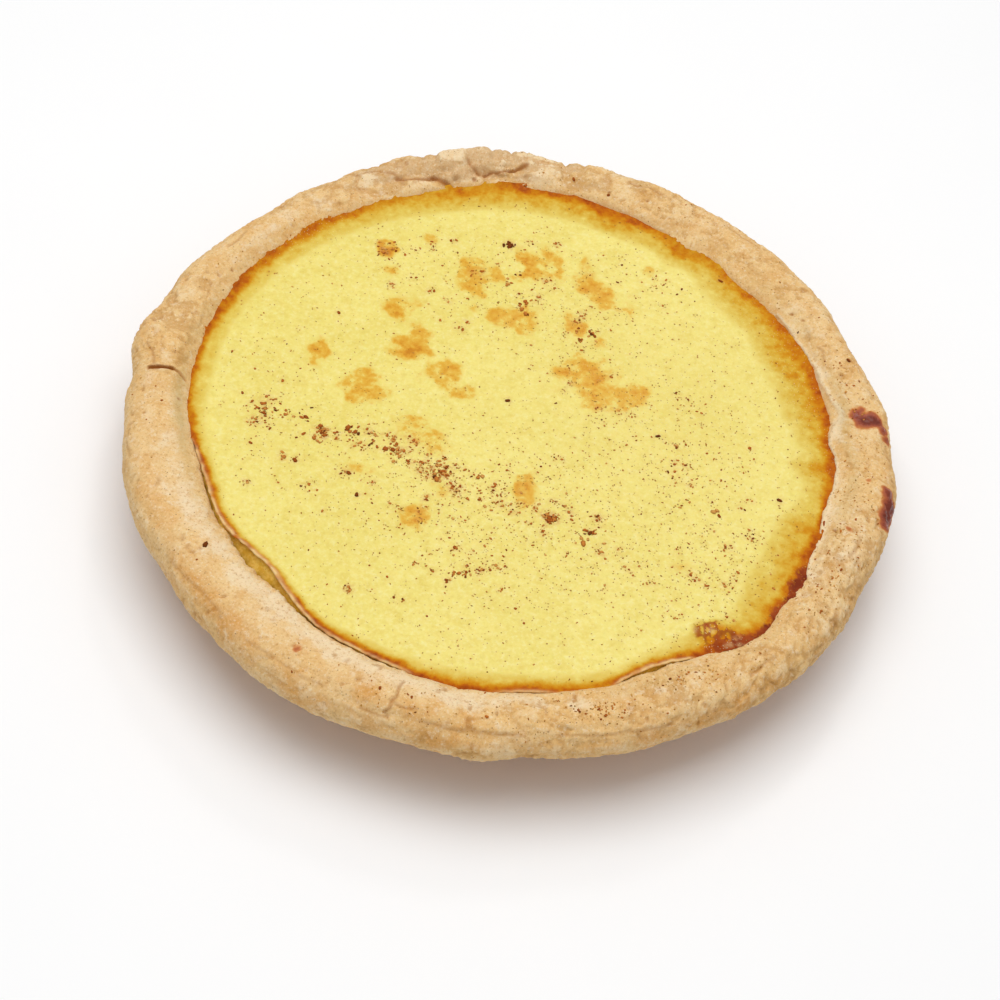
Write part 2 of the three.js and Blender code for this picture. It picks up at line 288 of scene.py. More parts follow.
def make_mesh(name, points, faces, masks=None):
    """A smooth-shaded object from points in millimetres, with one mask per point for each name."""
    mesh = bpy.data.meshes.new(name)
    mesh.from_pydata(((points - CENTRING) * MM).tolist(), [], [list(map(int, face)) for face in faces])
    mesh.polygons.foreach_set("use_smooth", [True] * len(mesh.polygons))
    for mask, values in (masks or {}).items():
        made = mesh.attributes.new(mask, "FLOAT", "POINT")
        made.data.foreach_set("value", np.asarray(values, np.float32).ravel())
    mesh.update()
    piece = bpy.data.objects.new(name, mesh)
    bpy.context.scene.collection.objects.link(piece)
    return piece


# ---------------- the pastry

CRUST_STEPS = 1400
# Where the rim is divided more finely than elsewhere: [angle, half width, how much more].
FINER_STEPS = [(181.4, 2.4, 2.6)]
RIM_START = -75  # profile angle under the rim where the finely made part begins
RIM_RINGS = 62
UNDERSIDE_PACE = 0.55  # how finely the rim's underside is divided, compared with its top
SAMPLE_STEP = 0.05  # degrees between the places at which spacing round the rim is worked out
SECTION_SAMPLES = 4000
INNER_WALL_RINGS = 8
INNER_WALL_FOOT = 12
UNDERSIDE_RADII = (6, 30, 55, BASE_RADIUS - FOOT_ROUNDING)
FOOT_RINGS = 5
WALL_RINGS = 12
UNDER_RINGS = 6  # where the wall turns into the rim
ALONG_RIM = math.radians(1) * 93  # millimetres round the rim for a degree, at a radius of 93
OVER_RIM = 0.146  # millimetres over the rim for a degree of profile

# Cracks and creases of the rim: [half width, depth, darkness inside as painted shade, the line's angles and
# profile angles].
CRACKS = [
    (0.42, 1.6, 1.3, [(181.7, 77), (181.5, 90), (181.3, 102), (181.1, 111)]),
    (0.34, 0.8, 0.6, [(181.1, 111), (181.3, 122), (182.4, 138)]),
    (0.3, 0.5, 0.5, [(181.4, 84), (179.4, 80), (178.2, 74), (177.4, 68), (176.4, 60)]),
    (0.28, 0.55, 0.6, [(259.4, 112), (259, 98), (259.2, 86), (258.7, 75), (259, 64), (258.2, 54), (259, 46)]),
    (0.26, 0.45, 0.5, [(259, 46), (257.5, 42), (256, 45), (255, 46)]),
    (0.26, 0.4, 0.5, [(258.7, 75), (260.6, 71), (262.2, 74)]),
    (0.34, 0.26, 0.3, [(217, 42), (221.5, 49), (225.5, 55), (230, 56)]),
    (0.3, 0.24, 0.3, [(236, 52), (240, 58), (245.5, 54), (249, 57)]),
    (0.34, 0.3, 0.35, [(263.5, 57), (268.5, 53), (272.5, 56), (278, 50)]),
    (0.34, 0.3, 0.35, [(283, 45), (288.5, 40), (292.5, 43), (299, 38)]),
    (0.45, 1.1, 0.8, [(101.4, 126), (100.4, 121), (98.5, 118), (96.8, 108), (96, 101), (94, 92)]),
    (0.45, 0.9, 0.7, [(117.4, 101), (115.6, 110), (114, 116), (111, 118)]),
    (0.6, 1.3, 0.9, [(111, 118), (110, 126), (108.9, 138), (108.2, 146)]),
    (0.42, 0.7, 0.6, [(104.4, 84), (103.9, 98), (103, 112), (102.5, 122)]),
    (0.35, 0.5, 0.5, [(124, 66), (122, 70), (119.6, 82), (117.5, 93)]),
    (0.3, 0.5, 0.4, [(129.5, 60), (127, 66), (125.5, 63)]),
    (0.28, 0.35, 0.35, [(193.2, 46), (195.6, 40), (198.1, 43)]),
    (0.26, 0.35, 0.4, [(170.4, 72), (171.8, 64), (171.2, 54), (172.6, 45)]),
    (0.3, 0.4, 0.45, [(24, 118), (25.6, 112), (26.8, 116)]),
    (0.35, 0.45, 0.4, [(313.5, 66), (316.4, 72), (318.1, 69)]),
    (0.3, 0.45, 0.45, [(341, 84), (343.4, 79), (345.5, 82)]),
    (0.34, 0.5, 0.45, [(69.8, 84), (72.4, 78), (74.6, 80), (76, 74)]),
    (0.3, 0.4, 0.4, [(52, 68), (54.5, 73), (56.9, 70)]),
    (0.34, 0.5, 0.4, [(147.5, 78), (150.1, 84), (152.2, 81)]),
]
RIDGE_HEIGHT = 0.7
LAYER_HEIGHT = 0.46  # of the folded pastry's layers on the lower outer face
# Where the pastry is lumpy, and where its layers show: [angle, half width, amount].
LUMPY_BACK = [(104, 24, 0.42)]
NEAR_SIDE = [(262, 62, 0.7)]
LIP_PROFILE = 144  # profile angle of the inner lip's middle
LIP_HALF = 24
WIDE_GAP = 3
PIT_DEPTH = 0.22
FISSURE_DEPTH = 0.35
# Unevenness of the rim and of the wall under it: [millimetres, size, seed, octaves].
BROAD_UNEVENNESS = [(0.42, 13, 31, 2), (0.18, 6, 35, 2)]
WALL_DENTS = [(0.16, 8, 231, 3), (0.06, 2, 241, 2)]
# Thin raised folds of pale pastry: [half width, the line's angles and profile angles].
RIDGES = [
    (0.5, [(335, 145), (340, 144), (346, 143), (352, 142), (357, 146), (1, 150), (4.5, 146), (6.5, 138),
          (9.5, 130)]),
    (0.45, [(9.5, 130), (12.5, 124), (14, 130), (18, 138), (22, 137), (26, 141)]),
    (0.4, [(26, 141), (31, 143), (37, 141)]),
]
# Smaller lumps and hollows, and what partly fills the long grooves of the near side, as in RIM_LUMPS.
SMALLER_LUMPS = [
    (243, 66, 8, 10, 0.5), (257, 52, 9, 10, 0.7), (272, 46, 9, 10, 0.75), (286, 56, 7, 10, 0.55),
    (319, 46, 6, 20, 0.3), (176.4, 14, 2.2, 24, 0.8), (181.6, 16, 1.5, 26, -0.8), (171, 4, 1.8, 22, -0.4),
    (166.5, 10, 2.4, 22, 0.4),
]
# How far the inner lip reaches over the custard beyond its even shape: [angle, half width, millimetres].
LIP_REACH = [
    (14, 5, 0.7), (45, 7, 0.5), (67.5, 3.2, 0.8), (76, 6, 1), (89, 5, 0.7), (345, 5, -0.4), (196, 7, 0.3),
]
# Small deep holes: [angle, profile angle, radius, depth].
HOLES = [
    (103.5, 134, 0.75, 1.6), (101.5, 126, 0.7, 1.5), (22.5, 72, 0.55, 0.8), (35.6, 121, 0.5, 0.7),
    (33.4, 112, 0.45, 0.6), (187, 128, 0.4, 0.5), (78.6, 122, 0.5, 0.7), (71.5, 108, 0.45, 0.6),
    (155.5, 118, 0.45, 0.5), (345.5, 118, 0.45, 0.5),
]
# Dark, glossy places where filling boiled over and burnt: [angle, profile angle, halves in mm, strength].
BURNT = [
    (11.4, 97, 2.3, 2.2, 0.85), (10, 87, 3, 2.5, 1.05), (10.2, 70, 2.5, 2.6, 1.05),
    (8.6, 54, 1.9, 2.2, 0.8), (6.8, 44, 1.5, 1.8, 0.6), (355.7, 50, 2, 2.2, 0.9), (354, 38, 2.6, 3, 1.1),
    (352.2, 38, 2.6, 3.2, 1.1), (350.6, 36, 2, 2.6, 0.85), (357.5, 88, 1, 0.8, 0.34),
    (346.5, 96, 1.1, 0.9, 0.38), (242.5, 90, 1.25, 1, 0.42),
]
# Golden browning of the pastry, pale floury places partly painted light, and places damp with filling partly
# painted shade:
# [angle, profile angle, half width, half width over the profile, amount].
GOLDEN = [
    (104, 62, 5, 24, 0.2), (60, 40, 26, 40, 0.3), (128, 40, 30, 34, 0.25), (170, 40, 12, 30, 0.3),
    (226, 62, 18, 22, 0.45), (256, 74, 12, 16, 0.2), (284, 22, 34, 22, 0.3), (320, 30, 24, 28, 0.35),
    (12, 50, 14, 26, 0.4), (205, 66, 10, 22, 0.3), (240, 20, 34, 26, 0.22), (350, 40, 12, 24, 0.25),
    (246, 60, 34, 40, 0.2),
]
PALE_AND_PAINTED_LIGHT = [
    (240, 124, 26, 20, 0.75), (262, 104, 16, 16, 0.45), (212, 108, 18, 18, 0.45), (286, 108, 16, 20, 0.4),
    (190, 84, 9, 16, 0.35), (92, 128, 9, 12, 0.4), (107, 124, 3, 12, 0.6), (316, 86, 10, 14, 0.35),
    (140, 104, 16, 18, 0.25), (9, 128, 5, 12, 0.6), (350, 140, 9, 12, 0.5), (25, 132, 8, 10, 0.35),
    (334, 128, 8, 12, 0.3), (104, 84, 24, 46, 0.85), (340, 90, 9, 30, 0.45),
]
DAMP_AND_PAINTED_SHADE = [
    (186, 128, 7, 12, 0.75), (199, 128, 12, 10, 0.55), (172, 128, 9, 14, 0.4), (354, 112, 8, 13, 0.45),
    (12, 118, 9, 12, 0.55), (322, 116, 8, 14, 0.3), (300, 118, 10, 10, 0.3), (40, 124, 14, 12, 0.35),
    (160, 130, 9, 12, 0.35),
]
# How rough the pastry's surface is, on top of 1: [angle, half width, amount].
ROUGHER = [
    (322, 28, 1.2), (104, 34, 1.1), (58, 20, 0.7), (8, 30, 0.5), (205, 26, -0.2), (282, 22, 0.3),
    (171, 8, 1.9),
]


def rim_angles():
    """Angles round the rim at which it is divided."""
    even = np.arange(0, 360, SAMPLE_STEP)
    walked = np.cumsum(1 + bells(FINER_STEPS, even))
    return np.interp(np.arange(CRUST_STEPS) / CRUST_STEPS * walked[-1], walked, even)


def line_away(line, degrees, profile, sway):
    """Distance in millimetres from each point of the rim to a line of straight pieces drawn on it."""
    origin = line[0][0]
    drawn = [(turn(origin, angle) * ALONG_RIM, at * OVER_RIM) for angle, at in line]
    along, over = turn(origin, degrees) * ALONG_RIM + sway[0], profile * OVER_RIM + sway[1]
    nearest = np.full(along.shape, np.inf)
    for (x0, y0), (x1, y1) in zip(drawn, drawn[1:]):
        dx, dy = x1 - x0, y1 - y0
        share = np.clip(((along - x0) * dx + (over - y0) * dy) / (dx * dx + dy * dy), 0, 1)
        nearest = np.minimum(nearest, np.hypot(along - x0 - share * dx, over - y0 - share * dy))
    return nearest


def rim_lines(degrees, profile, wander):
    """Depth of the cracks and holes, the painted shade inside them, and the raised folds, at each point of
    the rim.
    """
    depth, dark, fold = 0, 0, 0
    for half, deep, painted_shade_inside, line in CRACKS:
        away = line_away(line, degrees, profile, 0.9 * half * wander)
        depth = np.maximum(depth, deep * np.exp(-((away / half) ** 2.6)))
        dark = np.maximum(dark, painted_shade_inside * np.exp(-((away / (1.4 * half)) ** 3)))
    for angle, at, radius, deep in HOLES:
        hole = spot_at(angle, at, radius, radius, degrees, profile, 0.25 * wander)
        depth = np.maximum(depth, deep * hole)
        dark = np.maximum(dark, 0.9 * hole)
    for half, line in RIDGES:
        fold = np.maximum(fold, bell(line_away(line, degrees, profile, 1.5 * half * wander), half))
    return depth, dark, fold


def spot_at(angle, at, half_along, half_over, degrees, profile, sway):
    """A spot with a firm edge at a place on the rim, its half sizes in millimetres."""
    along = turn(angle, degrees) * ALONG_RIM + sway[0]
    over = (profile - at) * OVER_RIM + sway[1]
    return np.exp(-(np.hypot(along / half_along, over / half_over) ** 3))


def burnt_spots(degrees, profile, sway):
    total = 0
    for *place, strength in BURNT:
        total = np.maximum(total, strength * spot_at(*place, degrees, profile, sway))
    return total


def rim_section():
    """Radii, heights and profile angles of the finely made part, evenly spaced over the rim."""
    fine = np.linspace(RIM_START, 180, SECTION_SAMPLES)
    radii, heights = rim_point(fine)
    length = np.concatenate([[0], np.cumsum(np.hypot(np.diff(radii), np.diff(heights)))])
    pace = np.where(fine > -12, 1, UNDERSIDE_PACE)
    walked = np.concatenate([[0], np.cumsum(np.diff(length) * pace[1:])])
    profile = np.interp(np.linspace(0, walked[-1], RIM_RINGS), walked, fine)
    radii, heights = rim_point(profile)
    down = np.linspace(RIM_MIDDLE_HEIGHT, INNER_WALL_FOOT, INNER_WALL_RINGS + 1)[1:]
    radii = np.concatenate([radii, inner_face_radius(down)])
    profile = np.concatenate([profile, 180 + (RIM_MIDDLE_HEIGHT - down) / OVER_RIM])
    return radii, np.concatenate([heights, down]), profile


def billows(points, size, seed):
    """Rounded lumps of about this size with narrow creases between them, from -1 to 1."""
    return 2 * np.tanh(3.2 * np.abs(noise(points, size, seed))) - 1


def pastry_relief(points, degrees, profile):
    """Small unevenness of the pastry in millimetres, and the masks that colour it."""
    rough = (1 + bells(ROUGHER, degrees)) * (1 - 0.8 * smooth(profile, (122, 146)))
    top = smooth(profile, (-60, -10)) * (1 - smooth(profile, (176, 190)))
    wander = np.stack([layered(points, 2.6, 11), layered(points, 2.6, 21)])
    warped = points + 1.3 * np.stack([*wander, layered(points, 3.1, 25)], -1)
    broad = unevenness(points, BROAD_UNEVENNESS)
    patchy = smooth(layered(points, 10, 45, 2), (-0.35, 0.35))
    crags = 0.11 * billows(warped, 6.5, 41) * (0.25 + 0.75 * patchy)
    crags = crags + bells(LUMPY_BACK, degrees) * (billows(warped, 7, 43) - 0.75)
    crags = crags + 0.11 * billows(warped, 2.6, 51) * (0.5 + 0.5 * patchy)
    crags = crags + 0.2 * layered(points, 1.9, 55, 3, 0.8)
    # The lower outer face shows the layers of the folded pastry, broken off short.
    girth = np.radians(degrees) * 95 + 2 * wander[0]
    girth = np.stack([girth, 0 * degrees, points[..., 2] + 0.4 * wander[1]], -1)
    near_side = 0.3 + bells(NEAR_SIDE, degrees)
    layers = layered(girth, (6, 1, 1.3), 81, 3, 0.7)
    layers = LAYER_HEIGHT * layers * smooth(-profile, (-62, -25)) * smooth(profile, (-70, -20)) * near_side
    # A ragged ledge of pastry overhangs the crevices.
    gap = np.clip(bells(CREVICES, degrees) / WIDE_GAP, 0, 1)
    lip = bell(profile - LIP_PROFILE, LIP_HALF)
    jagged = layered(points, 2.8, 91, 4, 0.8)
    ragged = lip * ((0.16 + 1.4 * gap) * 0.95 * jagged + 1.25 * gap + 0.1 + bells(LIP_REACH, degrees))
    depth, dark, fold = rim_lines(degrees, profile, wander)
    burnt = burnt_spots(degrees, profile, 0.9 * wander)
    fold = fold * (0.85 + 0.3 * jagged)
    fissures = bell(noise(warped, 8, 61), 0.04) * smooth(rough * (0.5 + 0.5 * patchy), (0.7, 1.6))
    pits = smooth(noise(points, 1.6, 101), (0.55, 0.8)) * smooth(layered(points, 8, 111, 2), (-0.15, 0.3))
    fine = crags * rough - 0.16 * (rough - 1) - PIT_DEPTH * pits - FISSURE_DEPTH * fissures
    fine = fine * (1 - 0.6 * gap * lip)
    relief = (broad + fine) * top + layers + ragged + spots(SMALLER_LUMPS, degrees, profile)
    relief = relief + RIDGE_HEIGHT * fold - depth * top * (0.65 + 0.5 * layered(points, 5, 115, 2))
    relief = relief + burnt * (0.22 + 0.3 * layered(points, 1.3, 121, 2)) * top
    golden = spots(GOLDEN, degrees, profile) + (0.36 + 0.3 * near_side) * layered(points, 6, 131, 3)
    # Pale floury places and folds; some of the listed pale places are painted light.
    pale_and_painted_light = spots(PALE_AND_PAINTED_LIGHT, degrees, profile) + (0.32 + 0.3 * near_side) * layered(points, 5, 141, 3) + 0.9 * fold
    # Places damp with filling, partly painted shade on the inner face by the custard.
    damp_and_painted_shade = spots(DAMP_AND_PAINTED_SHADE, degrees, profile) * (1 + 0.6 * layered(points, 3.5, 151, 3))
    return relief, {
        "golden": np.clip(golden, -0.3, 1.2),
        "pale_and_painted_light": np.clip(pale_and_painted_light, -0.3, 1.2),
        "damp_and_painted_shade": np.clip(damp_and_painted_shade, 0, 1),
        # Painted shade inside cracks, holes and pits.
        "dark": np.clip(np.maximum(dark, 0.35 * pits), 0, 1),
        # Relief height, from which the colour paints light on raised places and shade in hollows.
        "high": 0.5 + fine + layers,
        "burnt": np.clip(burnt, 0, 1.3),
        "wall": smooth(-profile, (20, 80)),
    }


def rim_piece(degrees):
    """The finely made rim, and its lowest ring of points outside."""
    radii, heights, profile = rim_section()
    out_r, out_z = (direction[:, None] for direction in facing(radii, heights))
    profile = profile[:, None] + 0 * degrees
    moved_r, moved_z = made_by_hand(radii[:, None], heights[:, None], degrees)
    coarse = rim_relief(degrees, profile)
    moved_r, moved_z = moved_r + out_r * coarse, moved_z + out_z * coarse
    angles = degrees + 0 * moved_r
    fine, masks = pastry_relief(placed(moved_r, moved_z, angles), angles, profile)
    points = placed(moved_r + out_r * fine, moved_z + out_z * fine, angles)
    rim = make_mesh("crust_rim", points.reshape(-1, 3), grid_faces(len(points), CRUST_STEPS), masks)
    return rim, points[:1]


def shell_piece(degrees, rim_foot):
    """The rest of the pastry: underside, foot and wall outside, and the wall's foot and the floor inside."""
    foot = np.radians(np.linspace(-90, 0, FOOT_RINGS + 1)[1:])
    foot_r = np.concatenate([UNDERSIDE_RADII, BASE_RADIUS - FOOT_ROUNDING * (1 - np.cos(foot))])
    foot_z = np.concatenate([[0] * len(UNDERSIDE_RADII), FOOT_ROUNDING * (1 + np.sin(foot))])
    wall_r, wall_z = rim_point(np.array([WALL_MEETS_RIM]))
    up = np.linspace(0, 1, WALL_RINGS + 2)[1:-1]
    under_r, under_z = rim_point(np.linspace(WALL_MEETS_RIM, RIM_START, UNDER_RINGS + 1)[:-1])
    outer_r = np.concatenate([foot_r, foot_r[-1] + (wall_r - foot_r[-1]) * up, under_r])
    outer_z = np.concatenate([foot_z, foot_z[-1] + (wall_z - foot_z[-1]) * up, under_z])
    inner_z = np.array([INNER_WALL_FOOT, 8, FLOOR_THICKNESS + 1.5, FLOOR_THICKNESS, FLOOR_THICKNESS])
    floor_edge = inner_face_radius(FLOOR_THICKNESS) - 2
    inner_r = np.concatenate([inner_face_radius(inner_z[:3]), [floor_edge, UNDERSIDE_RADII[0]]])
    outside, inside = (
        placed(*made_by_hand(r[:, None], z[:, None], degrees), degrees + 0 * r[:, None])
        for r, z in ((outer_r, outer_z), (inner_r, inner_z))
    )
    baked = smooth(outside[..., 2], (0.5, 5)) * (1 - smooth(outside[..., 2], (17, 19)))
    dents = unevenness(outside, WALL_DENTS) * baked
    outside = outside + dents[..., None] * placed(1, -0.3, degrees)
    outside = np.concatenate([outside, rim_foot])
    count = len(outside) * CRUST_STEPS
    middles = count + len(inside) * CRUST_STEPS
    all_points = np.concatenate(
        [outside.reshape(-1, 3), inside.reshape(-1, 3), [[0, 0, 0], [0, 0, FLOOR_THICKNESS]]]
    )
    faces = [
        *grid_faces(len(outside), CRUST_STEPS),
        *grid_faces(len(inside), CRUST_STEPS, count),
        *fan_faces(0, CRUST_STEPS, middles, False),
        *fan_faces(middles - CRUST_STEPS, CRUST_STEPS, middles + 1, True),
    ]
    masks = {
        "golden": np.clip(0.35 + 0.3 * layered(all_points, 14, 251, 3), 0, 1),
        "pale_and_painted_light": np.clip(0.2 * layered(all_points, 10, 261, 3), 0, 1),
        "high": 0.5 + 0.2 * layered(all_points, 4, 271, 2),
        "wall": 1 - smooth(all_points[:, 2], (16.5, 18.6)),
    }
    return make_mesh("crust_shell", all_points, faces, masks)


def crust_pieces():
    degrees = rim_angles()[None, :]
    rim, rim_foot = rim_piece(degrees)
    return rim, shell_piece(degrees, rim_foot)


# ---------------- the custard

CUSTARD_STEPS = 1000
MIDDLE_SPACING = 1.35
EDGE_SPACING = 0.43
EDGE_BAND = 15.0
OVERLAP = 0.9  # how far the skin runs into the pastry where they are still joined
UNDERSIDE = 4.8
# Browned blisters of the top: [x, y, half length, half width, turned by, strength].
BLISTERS = [
    (4.6, 56.3, 6.4, 6, 20, 0.62), (19.4, 49.4, 7.6, 3.8, 125, 0.62), (-15.7, 48.4, 5.9, 4.6, 80, 0.64),
    (-2.7, 35.7, 5, 4.4, 150, 0.6), (12.6, 37.3, 3, 2.6, 120, 0.72), (20.1, 31.8, 2.2, 1.9, 90, 0.42),
    (-33.8, 34, 4, 3.4, 60, 0.52), (-30.2, 20.7, 5.2, 4.2, 60, 0.92), (-28.7, 27.9, 2.6, 2, 60, 0.36),
    (-52.9, 15.2, 4.2, 2.8, 80, 0.5), (-39.6, 4.1, 4.4, 3.8, 30, 0.62), (-20.3, 13.4, 4.2, 3.2, 70, 0.64),
    (-13.4, 7, 2.8, 2, 10, 0.46), (17, 21.5, 6.2, 3.8, 10, 0.72), (26.5, 14.5, 7.2, 3.8, 15, 0.56),
    (33.6, 17.3, 2.2, 2, 0, 0.62), (9.8, 13.8, 2.8, 2.6, 0, 0.3), (-22.7, -8.9, 6, 4.2, 160, 0.42),
    (5.7, -20.7, 3.9, 2.6, 90, 0.56), (-36.2, -22.8, 3.4, 1.9, 175, 0.34),
    (-21.3, -35.1, 3.8, 2.9, 70, 0.62), (-14.9, -26.3, 2.9, 2.2, 20, 0.38),
    (-38.3, 46.8, 1.6, 1.5, 0, 0.55), (-41.3, 55.3, 2.3, 1.8, 90, 1), (-29.7, 60.8, 1.9, 1.8, 0, 0.52),
    (30.9, 60.4, 2.2, 1.7, 90, 0.34), (47, -39, 3, 2, 20, 0.25),
]
# Browning of the skin by angle, with the deeper yellow partly painted shade, most at the far edge:
# [angle, amount at the edge, its width in mm, the deeper yellow, its reach].
EDGE_BROWNING_AND_SHADE = [
    (0, 1.02, 3, 0.58, 15), (3, 1.1, 2.3, 0.36, 11), (8, 0.9, 1.9, 0.4, 11), (12, 0.98, 3.1, 0.6, 15),
    (18, 0.9, 3, 0.6, 15), (22, 0.74, 2.6, 0.56, 15), (30, 0.74, 3.1, 0.62, 15), (36, 0.68, 2.6, 0.52, 13),
    (41, 0.6, 2.6, 0.54, 14), (52, 0.64, 2.4, 0.46, 12), (57, 0.58, 2.6, 0.5, 10), (65, 0.6, 3, 0.48, 10),
    (70, 0.9, 2.8, 0.55, 12), (76, 0.58, 3.4, 0.9, 12), (85, 1, 2.6, 0.54, 12), (90, 0.88, 2.8, 0.5, 12),
    (96, 0.9, 2, 0.55, 11), (101, 0.4, 2.4, 0.58, 11), (106, 0.3, 2.6, 0.6, 10.5),
    (120, 0.52, 1.9, 0.46, 9.5), (135, 0.88, 2.2, 0.34, 9), (152, 0.9, 1.9, 0.34, 7.5),
    (166, 0.98, 1.9, 0.3, 7), (180, 0.82, 1.6, 0.34, 7), (195, 1.04, 1.7, 0.25, 5.5),
    (210, 0.98, 1.6, 0.22, 4.5), (226, 0.98, 1.2, 0.18, 3.5), (240, 1.1, 1.7, 0.22, 4.5),
    (256, 1.08, 2, 0.3, 6), (270, 1.04, 2.1, 0.32, 7), (286, 0.9, 2, 0.3, 6.5), (300, 0.9, 1.9, 0.22, 6),
    (315, 0.92, 2.4, 0.5, 10), (330, 1, 2.6, 0.5, 15), (345, 1.05, 1.6, 0.56, 13),
    (350, 0.95, 1.5, 0.35, 9), (355, 0.92, 2.2, 0.36, 10),
]
# Filling that boiled up and caught, with small bubbles: [angle, half width, amount].
CAUGHT = [
    (329.5, 6.2, 0.95), (323, 4, 0.8), (317.5, 2.6, 0.75), (2, 4, 0.35), (300.5, 1.6, 0.4), (334, 3, 0.5),
]
# Patches, [x, y, half length, half width, turned by]: open bubbles by the near right edge, and where the skin
# is grained, catches the light and carries painted glints.
BOILED = (58, -58.6, 7.4, 4.9, -10)
GRAINY = (40, 14, 34, 30, 20)
# Where the skin's edge and the skin next to it have small bubbles, with painted glints on them: [angle, half
# width, amount].
BUBBLY_EDGE = [(136, 10, 1), (30, 14, 0.6)]
FROTHY = [(140, 14, 1), (20, 34, 0.6)]
BLISTER_SPREAD = 1.42  # how far a blister's faded margin goes beyond its even oval
BLISTER_HEIGHT = 0.1
BUBBLE_WALL_HEIGHT = 0.35
BUBBLE_HEIGHT = 0.3
FROTH_HEIGHT = 0.07
GROOVE_DEPTH = 0.22  # of the shallow groove just inside the skin's edge
DARKEST_SKIN = 1.1
SIDE_TINT = 0.3
# How the skin's edge wanders and its top swells: [millimetres, size, seed, octaves].
SKIN_WANDER = [(0.2, 3.6, 311, 3), (0.26, 1.5, 315, 2)]
SKIN_SWELL = [(0.14, 26, 321, 1), (0.06, 9, 331, 2)]


def patch(points, x, y, half_long, half_wide, degrees):
    """Distance from the middle of an oval patch, 1 at its edge."""
    c, s = math.cos(math.radians(degrees)), math.sin(math.radians(degrees))
    dx, dy = points[..., 0] - x, points[..., 1] - y
    return np.hypot((c * dx + s * dy) / half_long, (c * dy - s * dx) / half_wide)


def custard_section():
    """Even radii and heights from the middle of the top over the edge and down the side."""
    inner_edge = CUSTARD_RADIUS - EDGE_BAND
    edge = np.linspace(inner_edge, CUSTARD_RADIUS, round(EDGE_BAND / EDGE_SPACING) + 1)
    top = np.concatenate([np.arange(MIDDLE_SPACING, inner_edge, MIDDLE_SPACING), edge])
    side = np.concatenate([np.linspace(26.7, 22.5, 8), [20.5, 17, 12, FLOOR_THICKNESS + 1.8]])
    radii = np.concatenate([top, inner_face_radius(side) - CLEARANCE])
    return radii, np.concatenate([custard_height(top), side]), len(top)


def blistered(points):
    """How strongly the skin is blistered at each point."""
    blister = 0
    for x, y, half_long, half_wide, turned, strength in BLISTERS:
        away = patch(points, x, y, BLISTER_SPREAD * half_long, BLISTER_SPREAD * half_wide, turned)
        away = away + 0.75 * layered(points, 4.6, 341 + int(x), 2)
        blister = np.maximum(blister, strength * (1 - smooth(away, (0.45, 1.3))))
    return blister * (0.88 + 0.4 * layered(points, 4.4, 391, 2))


def browned_and_shaded_edge(points, angles, inset, ragged):
    """How brown the skin is towards its edge: a narrow ring over a wider, deeper yellow that is partly
    painted shade.
    """
    by_angle = list(zip(*EDGE_BROWNING_AND_SHADE))
    amount, width, deeper, reach = (np.interp(angles, by_angle[0], row, period=360) for row in by_angle[1:])
    width = width * (1 + 0.32 * layered(points, 5, 361, 3))
    # The browning runs inwards in short streaks.
    around = np.stack([np.radians(angles) * 80, inset / 5, 0 * inset], -1)
    streaks = layered(around, (1.6, 1, 1), 375, 3, 0.7)
    amount = amount * (1 + 0.12 * layered(points, 4, 371, 3) + 0.1 * streaks)
    ring = amount * (1 - smooth(inset + 0.5 * streaks, (0.5 * width, 1.8 * width)))
    # The deeper yellow is partly the custard's own and partly painted shade, strongest at the far edge.
    halo_and_painted_shade = deeper * (1 - smooth(inset, (0.3 * reach, 1.1 * reach))) * (1 + 0.3 * ragged)
    ring, halo_and_painted_shade = (np.clip(tint / DARKEST_SKIN, 0, 1) for tint in (ring, halo_and_painted_shade))
    return DARKEST_SKIN * (1 - (1 - ring) * (1 - halo_and_painted_shade))


